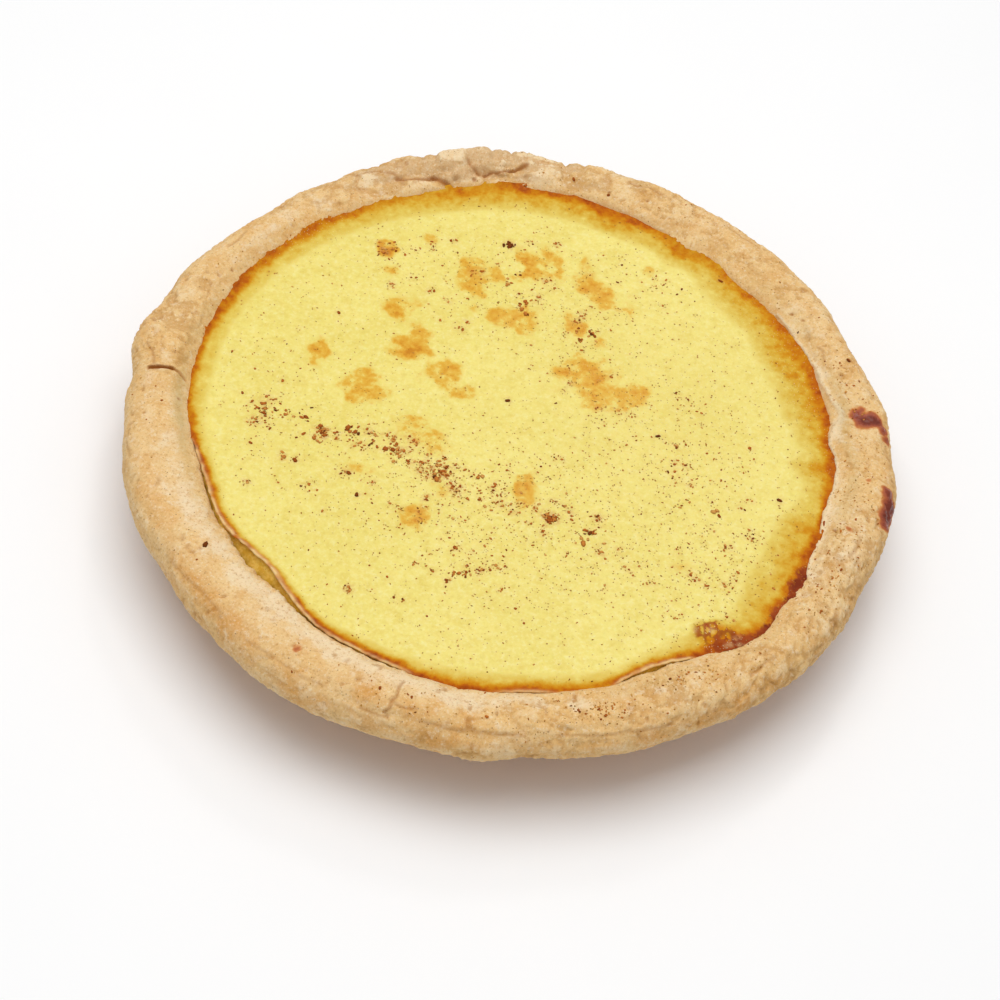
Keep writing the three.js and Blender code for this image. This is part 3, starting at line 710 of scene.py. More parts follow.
def custard_piece(stains):
    radii, heights, top_rings = custard_section()
    angles = np.arange(CUSTARD_STEPS)[None, :] * 360 / CUSTARD_STEPS + 0 * radii[:, None]
    even_r, even_z = radii[:, None] + 0 * angles, heights[:, None] + 0 * angles
    opened = bells(CREVICES, angles)
    joined = 1 - smooth(opened, (0.25, 0.8))
    moved_r, moved_z = made_by_hand(even_r, even_z, angles)
    moved_r = moved_r - crevice(angles, even_r, even_z)
    top = np.where(np.arange(len(radii))[:, None] < top_rings, 1, 0)
    edge_r = moved_r[top_rings - 1 : top_rings]
    inset = top * (edge_r - moved_r)  # how far in from the edge a point of the top is
    points = placed(moved_r, moved_z, angles)

    ragged = layered(points, 3.2, 301, 3)
    # The skin's edge wanders in and out, and climbs the pastry where it is joined to it.
    near_edge = bell(inset, 2.2)
    wander = unevenness(points, SKIN_WANDER) * near_edge * smooth(moved_z, (23, 26))
    moved_in = crevice(angles, even_r, even_z) / np.maximum(opened, 0.1)
    foot = (1 - joined) * (1 - smooth(moved_in, (0, 0.14))) * (1 - top)
    overlap = OVERLAP * (joined * near_edge + foot) * smooth(moved_z, (17, 22))
    frayed = layered(points, 1.7, 313, 3, 0.8)
    climb = top * np.exp(-((inset / 0.9) ** 1.5)) * joined * (0.5 + 0.45 * frayed)
    curl = top * bell(inset - 0.5, 0.6) * (1 - joined) * (0.28 + 0.2 * ragged)
    swell = unevenness(points, SKIN_SWELL)
    groove = -GROOVE_DEPTH * bell(inset - 2.4, 1.6) * joined * top

    blister = blistered(points) * top
    first, second = cells(points, 1.25, 351)
    bubble = np.sqrt(np.clip(1 - (first / 0.62) ** 2, 0, 1))
    walls = 1 - smooth(second - first, (0.04, 0.22))

    boil = 1 - smooth(patch(points, *BOILED) + 0.35 * ragged, (0.6, 1.15))
    boil_first, boil_second = cells(points * (1, 1, 0.2), 2.7, 381)
    boil_walls = boil * (1 - smooth(boil_second - boil_first, (0.06, 0.26)))
    caught = np.clip(bells(CAUGHT, angles), 0, 1) * bell(inset - 0.7, 1.6 + 0.8 * ragged)
    caught = np.clip(caught * (1 + 0.9 * ragged), 0, 1) * (0.6 + 0.4 * top)
    bubbly = np.clip(boil + caught + 0.5 * bells(BUBBLY_EDGE, angles) * near_edge, 0, 1)
    frothy = bells(FROTHY, angles) * bell(inset - 5, 5)
    relief = climb + curl + swell + groove + BLISTER_HEIGHT * blister * (1 + ragged)
    relief = relief + BUBBLE_WALL_HEIGHT * boil_walls + BUBBLE_HEIGHT * bubbly * (1 - boil) * (bubble - 0.35)
    relief = relief + FROTH_HEIGHT * frothy * (bubble - 0.5)
    moved_z = moved_z + relief * smooth(moved_z, (24, 26.4))
    points = placed(moved_r + wander + overlap, moved_z, angles)

    edge_tint = np.where(top, browned_and_shaded_edge(points, angles, inset, ragged), SIDE_TINT)
    skin = np.exp(-((inset / (0.7 + 0.3 * smooth(opened, (0.8, 3)))) ** 2.4)) * (1 - joined) * top
    skin = skin * smooth(ragged, (-0.6, 0.2))
    side = (1 - smooth(moved_z, (25.2, 26.8))) * (1 - joined) * (1 - top)
    cell = np.clip(((points[..., :2] + STAIN_REACH) / STAIN_STEP).astype(int), 0, len(stains) - 1)
    # Where the skin is grained, bubbly and frothy: its bumps catch the light there, and painted glints are
    # laid there too.
    grain_and_painted_glint = 0.9 * bell(patch(points, *GRAINY), 1) + 0.6 * frothy + bubbly * (1 - caught)
    masks = {
        "browning_and_painted_shade": np.clip(edge_tint + 0.34 * boil, 0, 1.2),
        "blister": np.clip(np.maximum(blister, 0.7 * boil), 0, 1),
        "caught": np.clip(caught * (0.75 + 0.5 * walls) + 0.55 * boil_walls, 0, 1.1),
        "skin": np.clip(skin + 0.35 * boil * (1 - smooth(boil_first, (0.1, 0.4))), 0, 1),
        "side": np.clip(side, 0, 1),
        # Painted shade: darkens the crevice towards its foot.
        "depth": 1 - smooth(moved_in + 0.3 * ragged, (0.1, 0.5)),
        "dusting": np.clip(STAIN_STRENGTH * stains[cell[..., 0], cell[..., 1]] * top, 0, 1),
        "grain_and_painted_glint": np.clip(grain_and_painted_glint, 0, 1),
    }
    count = len(radii) * CUSTARD_STEPS
    all_points = np.concatenate(
        [points.reshape(-1, 3), [[0, 0, float(custard_height(0.0))], [0, 0, UNDERSIDE]]]
    )
    faces = [
        *grid_faces(len(radii), CUSTARD_STEPS)[:, ::-1],
        *fan_faces(0, CUSTARD_STEPS, count, True),
        *fan_faces(count - CUSTARD_STEPS, CUSTARD_STEPS, count + 1, False),
    ]
    masks = {name: np.concatenate([values.ravel(), [0, 0]]) for name, values in masks.items()}
    return make_mesh("custard_filling", all_points, faces, masks)


# ---------------- the nutmeg

# The CAD part's clusters of larger flakes, [x, y, spread, how many], placed by the same rule.
FLAKE_CLUSTERS = [
    (-62, -8, 5, 6), (-51, -12, 4, 5), (-40, -11, 4, 4), (-31, -13, 4, 5), (-17, -20, 3.5, 6),
    (-4, -24, 5, 3), (13, -30, 1.2, 2), (23, -31, 4, 4), (-6, -50, 8, 4), (-8, 63, 0.8, 1), (-4, 44, 7, 4),
    (14, 34, 7, 3), (-40, 54, 3, 2), (48, -12, 12, 3),
]
SMALLEST_FLAKE = 0.55
LARGEST_FLAKE = 1.25
FLAKE_FLATNESS = 0.55
FLAKE_SEED = 2741
CRUMBS_PER_FLAKE = 4
# Grated nutmeg on the custard: [x, y, half length, half width, turned by, grains, largest radius].
GRATED = [
    (-66, -5, 10, 8, 160, 18, 0.5), (-61, -9, 12, 8, 170, 34, 0.5), (-49, -10, 6, 4, 165, 18, 0.5),
    (-44, -14, 6, 4, 160, 14, 0.5), (-36, -12, 9, 5, 170, 44, 0.46), (-29, -15, 8, 6, 165, 54, 0.48),
    (-21, -17, 7, 5, 150, 50, 0.46), (-16, -20, 4.5, 3, 150, 58, 0.54), (-12, -24, 7, 5, 140, 46, 0.48),
    (-2, -25, 10, 6, 160, 60, 0.44), (13, -30, 1.8, 1.3, 60, 46, 0.5), (10, -28, 9, 7, 150, 44, 0.4),
    (22, -31, 6, 5, 170, 26, 0.5), (27, -35, 8, 6, 160, 20, 0.44), (-8, -50, 18, 12, 150, 80, 0.4),
    (-16, -32, 16, 10, 150, 42, 0.36), (0, -38, 20, 11, 160, 60, 0.34), (-36, -30, 14, 8, 170, 30, 0.4),
    (-26, -58, 14, 10, 150, 30, 0.36), (10, -14, 12, 8, 150, 40, 0.34), (45, -6, 16, 10, 170, 80, 0.36),
    (50, 14, 10, 8, 0, 34, 0.34), (56, -42, 13, 12, 120, 68, 0.4), (62, -26, 9, 12, 90, 44, 0.38),
    (38, -42, 20, 14, 160, 46, 0.32), (-39, 55, 6, 4, 10, 28, 0.48), (-28, 57, 7, 4, 10, 18, 0.44),
    (-37, 45, 8, 5, 10, 18, 0.4), (-6, 48, 16, 9, 160, 36, 0.44), (8, 42, 16, 9, 150, 34, 0.42),
    (16, 32, 14, 9, 140, 28, 0.42), (-20, 36, 16, 8, 150, 36, 0.4), (-8, 63, 1.3, 0.9, 20, 16, 0.62),
    (-4, 62, 9, 4, 20, 20, 0.38), (22, 12, 18, 12, 150, 80, 0.32), (30, 58, 18, 8, 150, 44, 0.36),
    (-66, -14, 8, 8, 0, 16, 0.4), (-56, -30, 10, 14, 60, 18, 0.46), (-60, 8, 10, 14, 60, 14, 0.42),
]
SMALLEST_GRAIN = 0.13
GRAINS_PER_CLUMP = 7
CLUMP_SPREAD = (1.6, 1.2)
# The custard under thick nutmeg is stained: the grid's step and reach, and how far a grain's stain spreads.
STAIN_STEP = 0.4
STAIN_REACH = 90
STAIN_SPREAD = 1.1
STAIN_STRENGTH = 3.2
# Fine dust: how many grains are tried on the custard, where it is thicker [x, y, halves, turned by, amount],
# and the same for the pastry [angle, half width, amount].
DUST_ON_CUSTARD = 14000
DUST_THICKER = [
    (4, -34, 40, 22, 170, 0.55), (44, -2, 30, 20, 0, 0.4), (52, -40, 22, 18, 120, 0.35),
    (10, 40, 30, 16, 150, 0.45), (-40, -13, 28, 8, 170, 0.35), (-30, 54, 18, 9, 10, 0.2),
]
DUST_EVERYWHERE = 0.11
DUST_REACH = 82
DUST_ON_PASTRY = 700
SMALLEST_ON_CUSTARD = 0.1
SMALLEST_ON_PASTRY = 0.09
SMALLEST_FALLEN = 0.1
DUSTED_PASTRY = (84.5, 98)  # between these radii
PASTRY_DUST = [
    (300, 34, 0.75), (345, 26, 0.9), (262, 20, 0.22), (20, 26, 0.5), (75, 30, 0.3), (185, 30, 0.2),
    (135, 30, 0.2),
]
# Grated nutmeg that fell on the pastry: [angle, radius, spread along, spread across, grains, largest radius].
FELL_ON_PASTRY = [
    (289, 91.5, 5, 2.4, 60, 0.36), (291, 94, 2, 1.6, 12, 0.3), (304, 90, 4.5, 3, 50, 0.36),
    (343, 90, 5, 4, 46, 0.34), (333, 93, 5, 3, 40, 0.3), (355, 91, 5, 3, 26, 0.3),
    (258, 93, 5, 3, 12, 0.42), (18, 90, 7, 3, 22, 0.34),
]
LONE_GRAINS = [
    (-69.5, -56.3, 0.7), (86.6, 35.9, 0.8), (-6.1, 86.3, 0.45), (7.1, 89.7, 0.45), (17.4, 85.7, 0.5),
    (-21.6, -89.8, 0.45), (4.1, -92.9, 0.5), (-89.2, -12.5, 0.4), (70.6, -13, 0.5), (62, 3, 0.5),
    (38, 2.5, 0.5), (-2, 7, 0.55), (-50, 29, 0.5), (51, 61, 0.5), (-53, -23, 0.62), (-39, -24.6, 0.55),
    (-36, -31, 0.6), (-47, -13.5, 0.6),
]
# Where grains are darker: [x, y, reach, how much]. The last entry is for all the others.
DARK_GRAINS = [(-8, 63, 2.4, 0.9)] + [(x, y, 0.1, 0.6) for x, y, _ in LONE_GRAINS] + [(0, 0, 200, 0)]
GRAIN_SEED = 78
CRUMB_SEED = 77
FINE_GRAIN = 0.2  # grains smaller than this are made with fewer faces
LOWEST_GROUND = 23.5  # no grain lies lower than this
DROP_HEIGHT = 50


def repeatable(seed):
    """The CAD part's own source of numbers from 0 to 1."""
    state = seed
    while True:
        state = (state * 48271) % 2147483647
        yield state / 2147483647


def icosahedron():
    golden = (1 + math.sqrt(5)) / 2
    corners = [(-1, golden, 0), (1, golden, 0), (-1, -golden, 0), (1, -golden, 0)]
    corners += [(0, -1, golden), (0, 1, golden), (0, -1, -golden), (0, 1, -golden)]
    corners += [(golden, 0, -1), (golden, 0, 1), (-golden, 0, -1), (-golden, 0, 1)]
    faces = [(0, 11, 5), (0, 5, 1), (0, 1, 7), (0, 7, 10), (0, 10, 11), (1, 5, 9), (5, 11, 4), (11, 10, 2)]
    faces += [(10, 7, 6), (7, 1, 8), (3, 9, 4), (3, 4, 2), (3, 2, 6), (3, 6, 8), (3, 8, 9), (4, 9, 5)]
    faces += [(2, 4, 11), (6, 2, 10), (8, 6, 7), (9, 8, 1)]
    return np.array(corners) / math.hypot(1, golden), np.array(faces)


def octahedron():
    corners = [(1, 0, 0), (-1, 0, 0), (0, 1, 0), (0, -1, 0), (0, 0, 1), (0, 0, -1)]
    faces = [(0, 2, 4), (2, 1, 4), (1, 3, 4), (3, 0, 4), (2, 0, 5), (1, 2, 5), (3, 1, 5), (0, 3, 5)]
    return np.array(corners) * 1.15, np.array(faces)


def flake_spots():
    """Place and size of the larger flakes, drawn in the same order as in the CAD part."""
    draw = repeatable(FLAKE_SEED)
    found = []
    for x, y, spread, count in FLAKE_CLUSTERS:
        for _ in range(count):
            distance = spread * math.sqrt(next(draw))
            heading = 2 * math.pi * next(draw)
            radius = SMALLEST_FLAKE + (LARGEST_FLAKE - SMALLEST_FLAKE) * next(draw) ** 2
            longer = 1 + 0.5 * next(draw)
            next(draw)
            turned = math.pi * next(draw)
            found.append(
                (x + distance * math.cos(heading), y + distance * math.sin(heading), radius, longer, turned)
            )
    return found


def around_middle(reach, angle):
    return reach * np.cos(angle), reach * np.sin(angle)


def grain_spots(draw):
    """Places of all grains, [x, y, radius], the custard's first."""
    found = []
    for x, y, half_long, half_wide, turned, count, largest in GRATED:
        c, s = math.cos(math.radians(turned)), math.sin(math.radians(turned))
        clumps = max(count // GRAINS_PER_CLUMP, 1)
        chosen = draw.integers(0, clumps, count)
        loose = np.where(draw.random(count) < 0.4, 1.0, 0.0)
        along, across = (
            (1 - loose) * draw.normal(0, 0.5, clumps)[chosen] * half
            + draw.normal(0, 0.5, count) * (loose * half + (1 - loose) * spread)
            for half, spread in zip((half_long, half_wide), CLUMP_SPREAD)
        )
        radius = SMALLEST_GRAIN + (largest - SMALLEST_GRAIN) * draw.random(count) ** 1.8
        found += zip(x + along * c - across * s, y + along * s + across * c, radius)
    tried = draw.random((DUST_ON_CUSTARD, 4))
    reach, heading = DUST_REACH * np.sqrt(tried[:, 0]), 2 * np.pi * tried[:, 1]
    spread = np.stack([reach * np.cos(heading), reach * np.sin(heading)], -1)
    share = DUST_EVERYWHERE + sum(amount * bell(patch(spread, *place), 1) for *place, amount in DUST_THICKER)
    wanted = tried[:, 2] < share
    found += zip(*spread[wanted].T, SMALLEST_ON_CUSTARD + 0.13 * tried[wanted, 3] ** 2.5)
    tried = draw.random((DUST_ON_PASTRY * 4, 4))
    wanted = tried[:, 3] < bells(PASTRY_DUST, tried[:, 0] * 360)
    turns, across, size, _ = tried[wanted][:DUST_ON_PASTRY].T
    reach = DUSTED_PASTRY[0] + (DUSTED_PASTRY[1] - DUSTED_PASTRY[0]) * across
    found += zip(*around_middle(reach, turns * 2 * np.pi), SMALLEST_ON_PASTRY + 0.17 * size**2)
    for middle, away, along, across, count, largest in FELL_ON_PASTRY:
        angle = np.radians(middle + draw.normal(0, 0.6, count) * along)
        reach = away + draw.normal(0, 0.6, count) * across
        radius = SMALLEST_FALLEN + (largest - SMALLEST_FALLEN) * draw.random(count) ** 2
        found += zip(*around_middle(reach, angle), radius)
    return found + LONE_GRAINS


def stain_map(grains):
    """How much of the custard the grains cover, on a square grid with the stain spread round each."""
    table = np.zeros((round(2 * STAIN_REACH / STAIN_STEP),) * 2)
    for x, y, radius in grains:
        spot = tuple(int((at + STAIN_REACH) / STAIN_STEP) for at in (x, y))
        if max(spot) < len(table) and min(spot) >= 0:
            table[spot] += math.pi * radius * radius / STAIN_STEP**2
    kernel = bell(np.arange(-8, 9) * STAIN_STEP, STAIN_SPREAD)
    kernel = kernel / kernel.sum()
    for axis in (0, 1):
        table = np.apply_along_axis(np.convolve, axis, table, kernel, "same")
    return table


def all_crumbs(draw, grains):
    """Every crumb, [x, y, radius, how much longer, turned by, flatness], those of the larger flakes first."""
    crumbs = []
    for x, y, radius, longer, turned in flake_spots():
        for _ in range(CRUMBS_PER_FLAKE):
            away, heading = radius * 1.15 * math.sqrt(draw.random()), 2 * math.pi * draw.random()
            dx, dy = away * longer * math.cos(heading), away * math.sin(heading)
            c, s = math.cos(turned), math.sin(turned)
            size = radius * (0.32 + 0.36 * draw.random() ** 2)
            stretched = 1 + 0.8 * draw.random()
            crumbs.append((x + c * dx - s * dy, y + s * dx + c * dy, size, stretched, turned, 0.9))
    for x, y, radius in grains:
        crumbs.append((x, y, radius, 1 + 0.9 * draw.random(), math.pi * draw.random(), 0.66))
    return crumbs


def nutmeg_piece(grounds, grains):
    """Every grain as a small angular crumb lying on whichever of the grounds is uppermost."""
    trees = [
        BVHTree.FromPolygons([v.co for v in ground.data.vertices], [p.vertices for p in ground.data.polygons])
        for ground in grounds
    ]
    draw = np.random.default_rng(CRUMB_SEED)
    shapes = (octahedron(), icosahedron())
    all_points, all_faces, shades, dusty, used = [], [], [], [], 0
    for x, y, radius, longer, turned, flatness in all_crumbs(draw, grains):
        corners, faces = shapes[int(radius > FINE_GRAIN)]
        above = Vector(((x - CENTRING[0]) * MM, (y - CENTRING[1]) * MM, DROP_HEIGHT * MM))
        hits = [hit for hit in (tree.ray_cast(above, Vector((0, 0, -1))) for tree in trees) if hit[0]]
        jitter, shade, tilt = draw.random((12, 1)), draw.random(), draw.normal(0, 0.25, 2)
        if not hits:
            continue
        ground, normal = max(hits, key=lambda hit: hit[0].z)[:2]
        if ground.z < LOWEST_GROUND * MM:
            continue
        flatness = FLAKE_FLATNESS * flatness
        shape = corners * (0.72 + 0.5 * jitter[: len(corners)]) * (longer, 1, flatness) * radius
        c, s = math.cos(turned), math.sin(turned)
        shape = shape @ np.array([[c, s, 0], [-s, c, 0], [0, 0, 1]])
        upright = Vector((normal.x + tilt[0] * 0.5, normal.y + tilt[1] * 0.5, normal.z)).normalized()
        lean = np.array(Vector((0, 0, 1)).rotation_difference(upright).to_matrix())
        middle = np.array(ground) / MM + CENTRING + np.array(upright) * radius * flatness * 0.35
        all_faces.append(faces + used)
        all_points.append(shape @ lean.T + middle)
        used += len(corners)
        near = [row for row in DARK_GRAINS if math.hypot(x - row[0], y - row[1]) < row[2]]
        shades.append(np.full(len(corners), (1 - max(row[3] for row in near)) * shade))
        dusty.append(np.full(len(corners), 1 - smooth(radius, (0.16, 0.26))))
    masks = {"shade": np.concatenate(shades), "dusty": np.concatenate(dusty)}
    return make_mesh("nutmeg_grains", np.concatenate(all_points), np.concatenate(all_faces), masks)


# ---------------- materials


def colour(hex_code):
    """A colour of light from its screen value."""
    screen = [int(hex_code[i : i + 2], 16) / 255 for i in (1, 3, 5)]
    return [c / 12.92 if c <= 0.04045 else ((c + 0.055) / 1.055) ** 2.4 for c in screen] + [1.0]


class Painter:
    """Builds a material's nodes; noise, mask, mix and the like return output sockets to build on."""

    def __init__(self, name):
        self.material = bpy.data.materials.new(name)
        self.material.use_nodes = True
        self.tree = self.material.node_tree
        self.tree.nodes.clear()
        self.surface = self.tree.nodes.new("ShaderNodeBsdfPrincipled")
        output = self.tree.nodes.new("ShaderNodeOutputMaterial")
        self.tree.links.new(self.surface.outputs[0], output.inputs["Surface"])
        self.place = self.tree.nodes.new("ShaderNodeTexCoord").outputs["Object"]

    def node(self, kind, inputs):
        """A new node with its inputs linked to sockets or set to values."""
        node = self.tree.nodes.new("ShaderNode" + kind)
        for key, value in inputs.items():
            self.put(value, node.inputs[key])
        return node

    def put(self, value, socket):
        if isinstance(value, bpy.types.NodeSocket):
            self.tree.links.new(value, socket)
        else:
            socket.default_value = value

    def noise(self, size_mm, detail, roughness=0.55):
        inputs = {"Vector": self.place, "Scale": 1 / (size_mm * MM), "Detail": detail, "Roughness": roughness}
        return self.node("TexNoise", inputs).outputs["Fac"]

    def specks(self, size_mm):
        """Distance to the nearest of scattered points, and a number from 0 to 1 that is that point's own."""
        node = self.node("TexVoronoi", {"Vector": self.place, "Scale": 1 / (size_mm * MM)})
        split = self.node("SeparateColor", {0: node.outputs["Color"]})
        return node.outputs["Distance"], split.outputs[0]

    def mask(self, name):
        node = self.node("Attribute", {})
        node.attribute_name = name
        return node.outputs["Fac"]

    def maths(self, operation, a, b):
        node = self.node("Math", {0: a, 1: b})
        node.operation = operation
        return node.outputs[0]

    def plus(self, a, b):
        return self.maths("ADD", a, b)

    def times(self, a, b):
        return self.maths("MULTIPLY", a, b)

    def uneven(self, noise, amount):
        """A noise brought to swing round 0."""
        return self.times(self.maths("SUBTRACT", noise, 0.5), amount)

    def between(self, value, low, high, start=0.0, end=1.0):
        """Maps a stretch of values smoothly to another."""
        node = self.node("MapRange", dict(enumerate((value, low, high, start, end))))
        node.interpolation_type = "SMOOTHSTEP"
        return node.outputs[0]

    def mix(self, share, a, b):
        node = self.node("Mix", {})
        node.data_type = "RGBA"
        self.put(share, node.inputs["Factor"])
        for key, tint in (("A", a), ("B", b)):
            self.put(colour(tint) if isinstance(tint, str) else tint, node.inputs[key])
        return next(out for out in node.outputs if out.type == "RGBA")

    def stain(self, base, share, most, shade):
        """Lays a shade over a base as strongly as share times most."""
        return self.mix(self.times(share, most), base, shade)

    def tints(self, base, rows):
        """Lays shades over a base, each [value, where it starts, where it is full, how strong, shade]."""
        for value, low, high, most, shade in rows:
            base = self.mix(self.between(value, low, high, 0, most), base, shade)
        return base

    def ramp(self, value, stops):
        node = self.node("ValToRGB", {0: value})
        while len(node.color_ramp.elements) < len(stops):
            node.color_ramp.elements.new(0.5)
        for element, (position, hex_code) in zip(node.color_ramp.elements, stops):
            element.position = position
            element.color = colour(hex_code)
        return node.outputs["Color"]

    def bump(self, height, distance_mm, strength, under=None):
        inputs = {"Height": height, "Distance": distance_mm * MM, "Strength": strength}
        if under:
            inputs["Normal"] = under
        return self.node("Bump", inputs).outputs[0]

    def finish(self, tint, roughness, normal, settings):
        inputs = {"Base Color": tint, "Roughness": roughness, "Normal": normal, **settings}
        for name, value in inputs.items():
            self.put(value, self.surface.inputs[name])
        return self.material


def custard_material():
    p = Painter("baked_custard")
    broad, medium, fine, curd = p.noise(24, 2), p.noise(4.5, 4), p.noise(0.8, 2), p.noise(1.9, 3, 0.65)
    base = p.mix(p.between(broad, 0.35, 0.65), "#f0df7e", "#ecda76")
    base = p.tints(base, [
        (medium, 0.47, 0.72, 0.55, "#e4cd62"),
        (curd, 0.5, 0.68, 0.5, "#f3e79a"),
        (curd, 0.48, 0.3, 0.4, "#dcc458"),
        (fine, 0.52, 0.68, 0.3, "#f4ebaa"),
        (fine, 0.46, 0.3, 0.16, "#d8c05a"),
    ])
    base = p.stain(base, p.mask("grain_and_painted_glint"), 0.3, "#e4cd68")
    ragged = p.uneven(medium, 0.7)
    rough = p.plus(ragged, p.uneven(curd, 0.7))
    blister = p.mask("blister")
    mottled = p.plus(blister, p.times(rough, p.between(blister, 0.04, 0.4, 0, 1.7)))
    gold = p.ramp(
        mottled, [(0, "#ead673"), (0.3, "#e6c458"), (0.55, "#e2b03e"), (0.8, "#da9a28"), (1, "#cc8418")]
    )
    base = p.mix(p.between(mottled, 0.05, 0.5), base, gold)
    # Browning of the skin, with painted shade in the deeper yellow towards the edge.
    browning_and_painted_shade = p.mask("browning_and_painted_shade")
    browned = p.plus(browning_and_painted_shade, p.times(rough, p.between(browning_and_painted_shade, 0.04, 0.35)))
    toast = p.ramp(p.times(browned, 1 / 1.2), [
        (0, "#ead673"), (0.21, "#dfc256"), (0.42, "#d6aa34"), (0.58, "#cf9014"), (0.71, "#c67a00"),
        (0.83, "#ba6000"), (1, "#983e02"),
    ])
    base = p.mix(p.between(browned, 0.02, 0.2), base, toast)
    powder = p.times(p.mask("dusting"), p.between(p.noise(0.9, 4, 0.75), 0.36, 0.64))
    base = p.stain(base, powder, 0.62, "#cc8a5c")
    away, chance = p.specks(1.1)
    dots = p.times(p.between(chance, 0.84, 0.9), p.between(away, 0.24, 0.1))
    base = p.stain(base, dots, 0.5, "#a8682c")
    side = p.mix(p.between(curd, 0.38, 0.62), "#f0cc66", "#d8ac3c")
    # In the crevices the custard's side is darkened towards its foot with painted shade.
    base = p.mix(p.mask("side"), base, p.mix(p.mask("depth"), side, "#86621c"))
    charred = p.mix(p.between(medium, 0.35, 0.65), "#7a2c10", "#a04818")
    base = p.mix(p.between(p.plus(p.mask("caught"), ragged), 0.2, 0.7), base, charred)
    base = p.stain(base, p.mask("skin"), 0.85, "#f6da9c")
    # Painted highlights: tiny cream glints over the grained, bubbly and frothy skin.
    shine, _ = p.specks(0.8)
    grain_and_painted_glint = p.mask("grain_and_painted_glint")
    base = p.stain(base, p.times(p.between(shine, 0.22, 0.08), grain_and_painted_glint), 0.5, "#f6efc4")
    # Browned skin is dull.
    roughness = p.between(browned, 0.2, 0.8, 0.3, 0.7)
    strength = p.between(grain_and_painted_glint, 0, 1, 0.12, 0.5)
    normal = p.bump(p.between(shine, 0, 0.5, 1, 0), 0.08, strength, p.bump(curd, 0.12, 0.25))
    return p.finish(base, roughness, normal, {
        "Subsurface Weight": 0.12,
        "Subsurface Radius": (0.004, 0.0025, 0.0008),
        "Subsurface Scale": 0.6,
        "Specular IOR Level": 0.13,
    })


def pastry_material():
    p = Painter("baked_shortcrust")
    broad, medium, fine, flour = p.noise(16, 3), p.noise(5, 4), p.noise(0.9, 3, 0.65), p.noise(2.2, 4, 0.6)
    grit, high = p.noise(0.5, 2), p.mask("high")
    golden = p.plus(p.mask("golden"), p.uneven(flour, 1.1))
    pale_and_painted_light = p.plus(p.mask("pale_and_painted_light"), p.uneven(flour, 1))
    base = p.mix(p.between(broad, 0.35, 0.65), "#ebc78d", "#e8be7e")
    base = p.tints(base, [
        (medium, 0.42, 0.7, 0.6, "#daa660"),
        (golden, 0.1, 0.9, 0.85, "#dc9e4e"),
        # Pale floury pastry, partly painted light.
        (pale_and_painted_light, 0.1, 0.8, 0.85, "#f0d8b0"),
        # From the relief's height: painted light on raised places, painted shade in hollows.
        (high, 0.52, 0.85, 0.55, "#f0d4a6"),
        (high, 0.47, 0.15, 0.5, "#bd873f"),
        (flour, 0.56, 0.72, 0.5, "#f3dfba"),
        (fine, 0.55, 0.72, 0.45, "#f6e4c0"),
        (fine, 0.46, 0.3, 0.5, "#bc8542"),
        (grit, 0.58, 0.72, 0.4, "#f6e6c6"),
        (grit, 0.42, 0.3, 0.35, "#b8813e"),
    ])
    away, chance = p.specks(1.5)
    bran = p.times(p.between(away, 0.15, 0.06), p.between(chance, 0.5, 0.6))
    base = p.stain(base, bran, 0.75, "#84522a")
    # Damp, greyish pastry by the custard, partly painted shade.
    base = p.stain(base, p.mask("damp_and_painted_shade"), 0.5, "#b29a62")
    base = p.mix(p.mask("wall"), base, p.mix(p.between(medium, 0.35, 0.65), "#c98f4c", "#b0743a"))
    # Painted shade darkens the cracks, holes and pits.
    base = p.stain(base, p.mask("dark"), 0.94, "#9c5808")
    burnt = p.plus(p.mask("burnt"), p.uneven(flour, 0.7))
    scorch = p.ramp(
        burnt, [(0, "#e0aa68"), (0.3, "#cc8348"), (0.5, "#ae5c34"), (0.75, "#984830"), (1, "#743020")]
    )
    base = p.mix(p.between(burnt, 0.1, 0.35), base, scorch)
    roughness = p.between(burnt, 0.35, 0.8, 0.85, 0.22)
    return p.finish(base, roughness, p.bump(fine, 0.28, 0.65, p.bump(flour, 0.5, 0.45)), {
        "Subsurface Weight": 0.08,
        "Subsurface Radius": (0.003, 0.0018, 0.001),
        "Subsurface Scale": 0.5,
        "Specular IOR Level": 0.3,
    })


def nutmeg_material():
    p = Painter("ground_nutmeg")
    stops = [(0, "#64320e"), (0.14, "#9a4e18"), (0.38, "#c06c28"), (0.72, "#d48e40"), (1, "#e0aa5c")]
    shade = p.stain(p.ramp(p.mask("shade"), stops), p.mask("dusty"), 0.75, "#b88c34")
    fine = p.noise(0.3, 2)
    base = p.tints(shade, [(fine, 0.4, 0.7, 0.3, "#6a3c16")])
    return p.finish(base, 0.85, p.bump(fine, 0.04, 0.4), {"Specular IOR Level": 0.1})


# ---------------- camera, light and floor

VIEW_ANGLE = 24
VIEW_ELEVATION = 51.7
VIEW_ROLL = 8.4
VIEW_DISTANCE = 589
VIEW_TARGET = (-0.2, -28.8, 30)
# The studio's strength at the horizon and above, and the rise at which it is full; the floor in metres.
SKY_LOW = 0.22
SKY_HIGH = 0.55
SKY_FULL_AT = 0.8
FLOOR_HALF = 3.0


def photo_camera():
    tilt, roll = math.radians(VIEW_ELEVATION), math.radians(VIEW_ROLL)
    ahead = Vector((0, math.cos(tilt), -math.sin(tilt)))
    right = Vector((1, 0, 0))
    up = right.cross(ahead)
    rolled_right = right * math.cos(roll) + up * math.sin(roll)
    rolled_up = up * math.cos(roll) - right * math.sin(roll)
    place = (Vector(VIEW_TARGET) - Vector(CENTRING) - ahead * VIEW_DISTANCE) * MM
    data = bpy.data.cameras.new("photo_camera")
    data.angle = math.radians(VIEW_ANGLE)
    camera = bpy.data.objects.new("photo_camera", data)
    turned = Matrix((rolled_right, rolled_up, -ahead)).transposed().to_4x4()
    camera.matrix_world = Matrix.Translation(place) @ turned
    bpy.context.scene.collection.objects.link(camera)
    bpy.context.scene.camera = camera


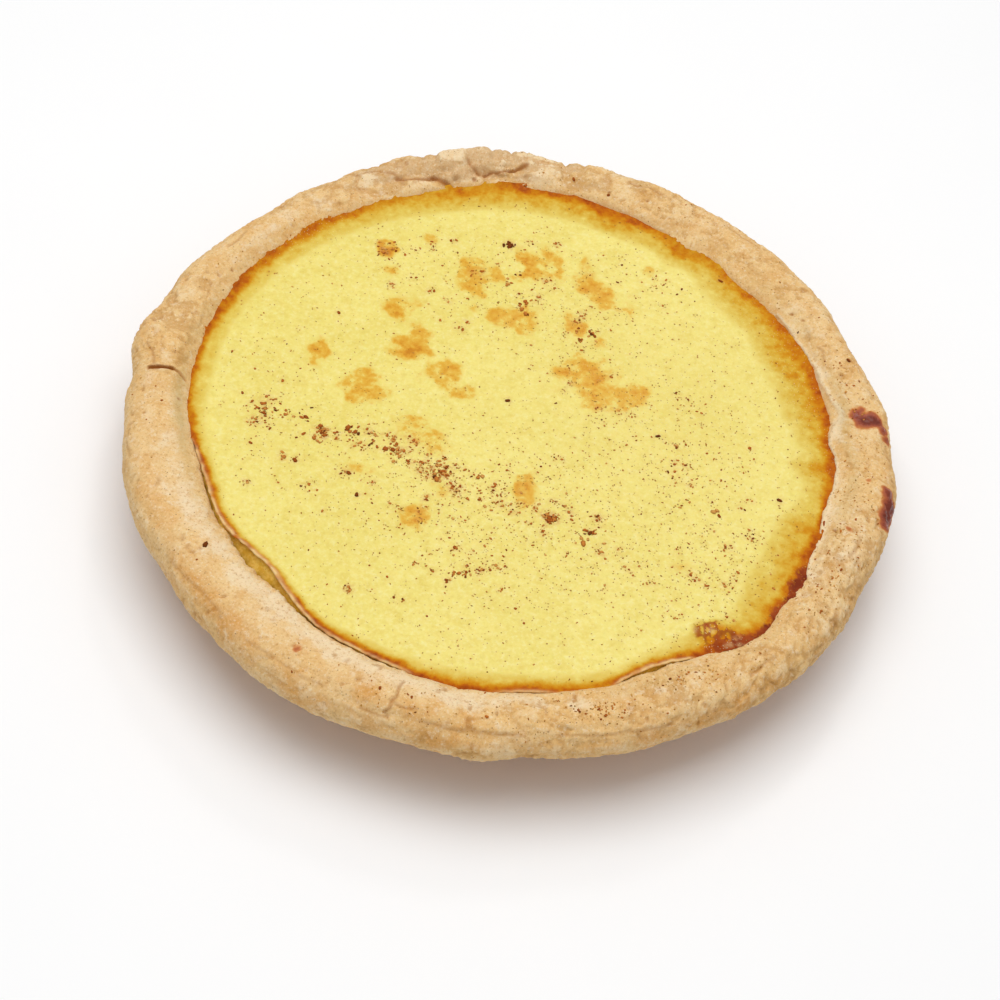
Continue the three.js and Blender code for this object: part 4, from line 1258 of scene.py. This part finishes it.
def soft_box(name, azimuth, elevation, distance, size, watts):
    """A square area light that faces the pie; azimuth is counted from +X towards +Y, distances in metres."""
    a, e = math.radians(azimuth), math.radians(elevation)
    away = Vector((math.cos(a) * math.cos(e), math.sin(a) * math.cos(e), math.sin(e)))
    data = bpy.data.lights.new(name, "AREA")
    data.size = size
    data.energy = watts
    light = bpy.data.objects.new(name, data)
    light.location = away * distance
    light.rotation_mode = "QUATERNION"
    light.rotation_quaternion = away.to_track_quat("Z", "Y")
    bpy.context.scene.collection.objects.link(light)


def studio():
    world = bpy.data.worlds.new("pale_studio")
    world.use_nodes = True
    tree = world.node_tree
    background = tree.nodes["Background"]
    split = tree.nodes.new("ShaderNodeSeparateXYZ")
    tree.links.new(tree.nodes.new("ShaderNodeTexCoord").outputs["Generated"], split.inputs[0])
    rise = tree.nodes.new("ShaderNodeMapRange")
    for name, value in (("From Max", SKY_FULL_AT), ("To Min", SKY_LOW), ("To Max", SKY_HIGH)):
        rise.inputs[name].default_value = value
    tree.links.new(split.outputs["Z"], rise.inputs["Value"])
    tree.links.new(rise.outputs[0], background.inputs["Strength"])
    background.inputs["Color"].default_value = (1, 1, 1, 1)
    bpy.context.scene.world = world
    soft_box("overhead", 125, 85, 1.1, 0.9, 7.6)
    soft_box("window", 81, 50.4, 1.2, 0.14, 0.7)
    bpy.context.scene.view_settings.view_transform = "Standard"

    mesh = bpy.data.meshes.new("floor")
    corners = [(x * FLOOR_HALF, y * FLOOR_HALF, 0) for x, y in ((-1, -1), (1, -1), (1, 1), (-1, 1))]
    mesh.from_pydata(corners, [], [(0, 1, 2, 3)])
    floor = bpy.data.objects.new("floor", mesh)
    floor.location.z = -0.2 * MM
    bpy.context.scene.collection.objects.link(floor)
    p = Painter("pale_floor")
    tint = p.mix(p.noise(60, 2), "#fafafa", "#fcfcfc")
    mesh.materials.append(p.finish(tint, 0.6, p.bump(p.noise(3, 2), 0.01, 0.02), {}))


crust_rim, crust_shell = crust_pieces()
grains = grain_spots(np.random.default_rng(GRAIN_SEED))
custard_filling = custard_piece(stain_map(grains))
nutmeg_grains = nutmeg_piece([crust_rim, custard_filling], grains)

pastry = pastry_material()
for piece, material in (
    (crust_rim, pastry),
    (crust_shell, pastry),
    (custard_filling, custard_material()),
    (nutmeg_grains, nutmeg_material()),
):
    piece.data.materials.append(material)
    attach(piece, "root")
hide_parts("crust")
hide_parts("custard")

studio()
photo_camera()
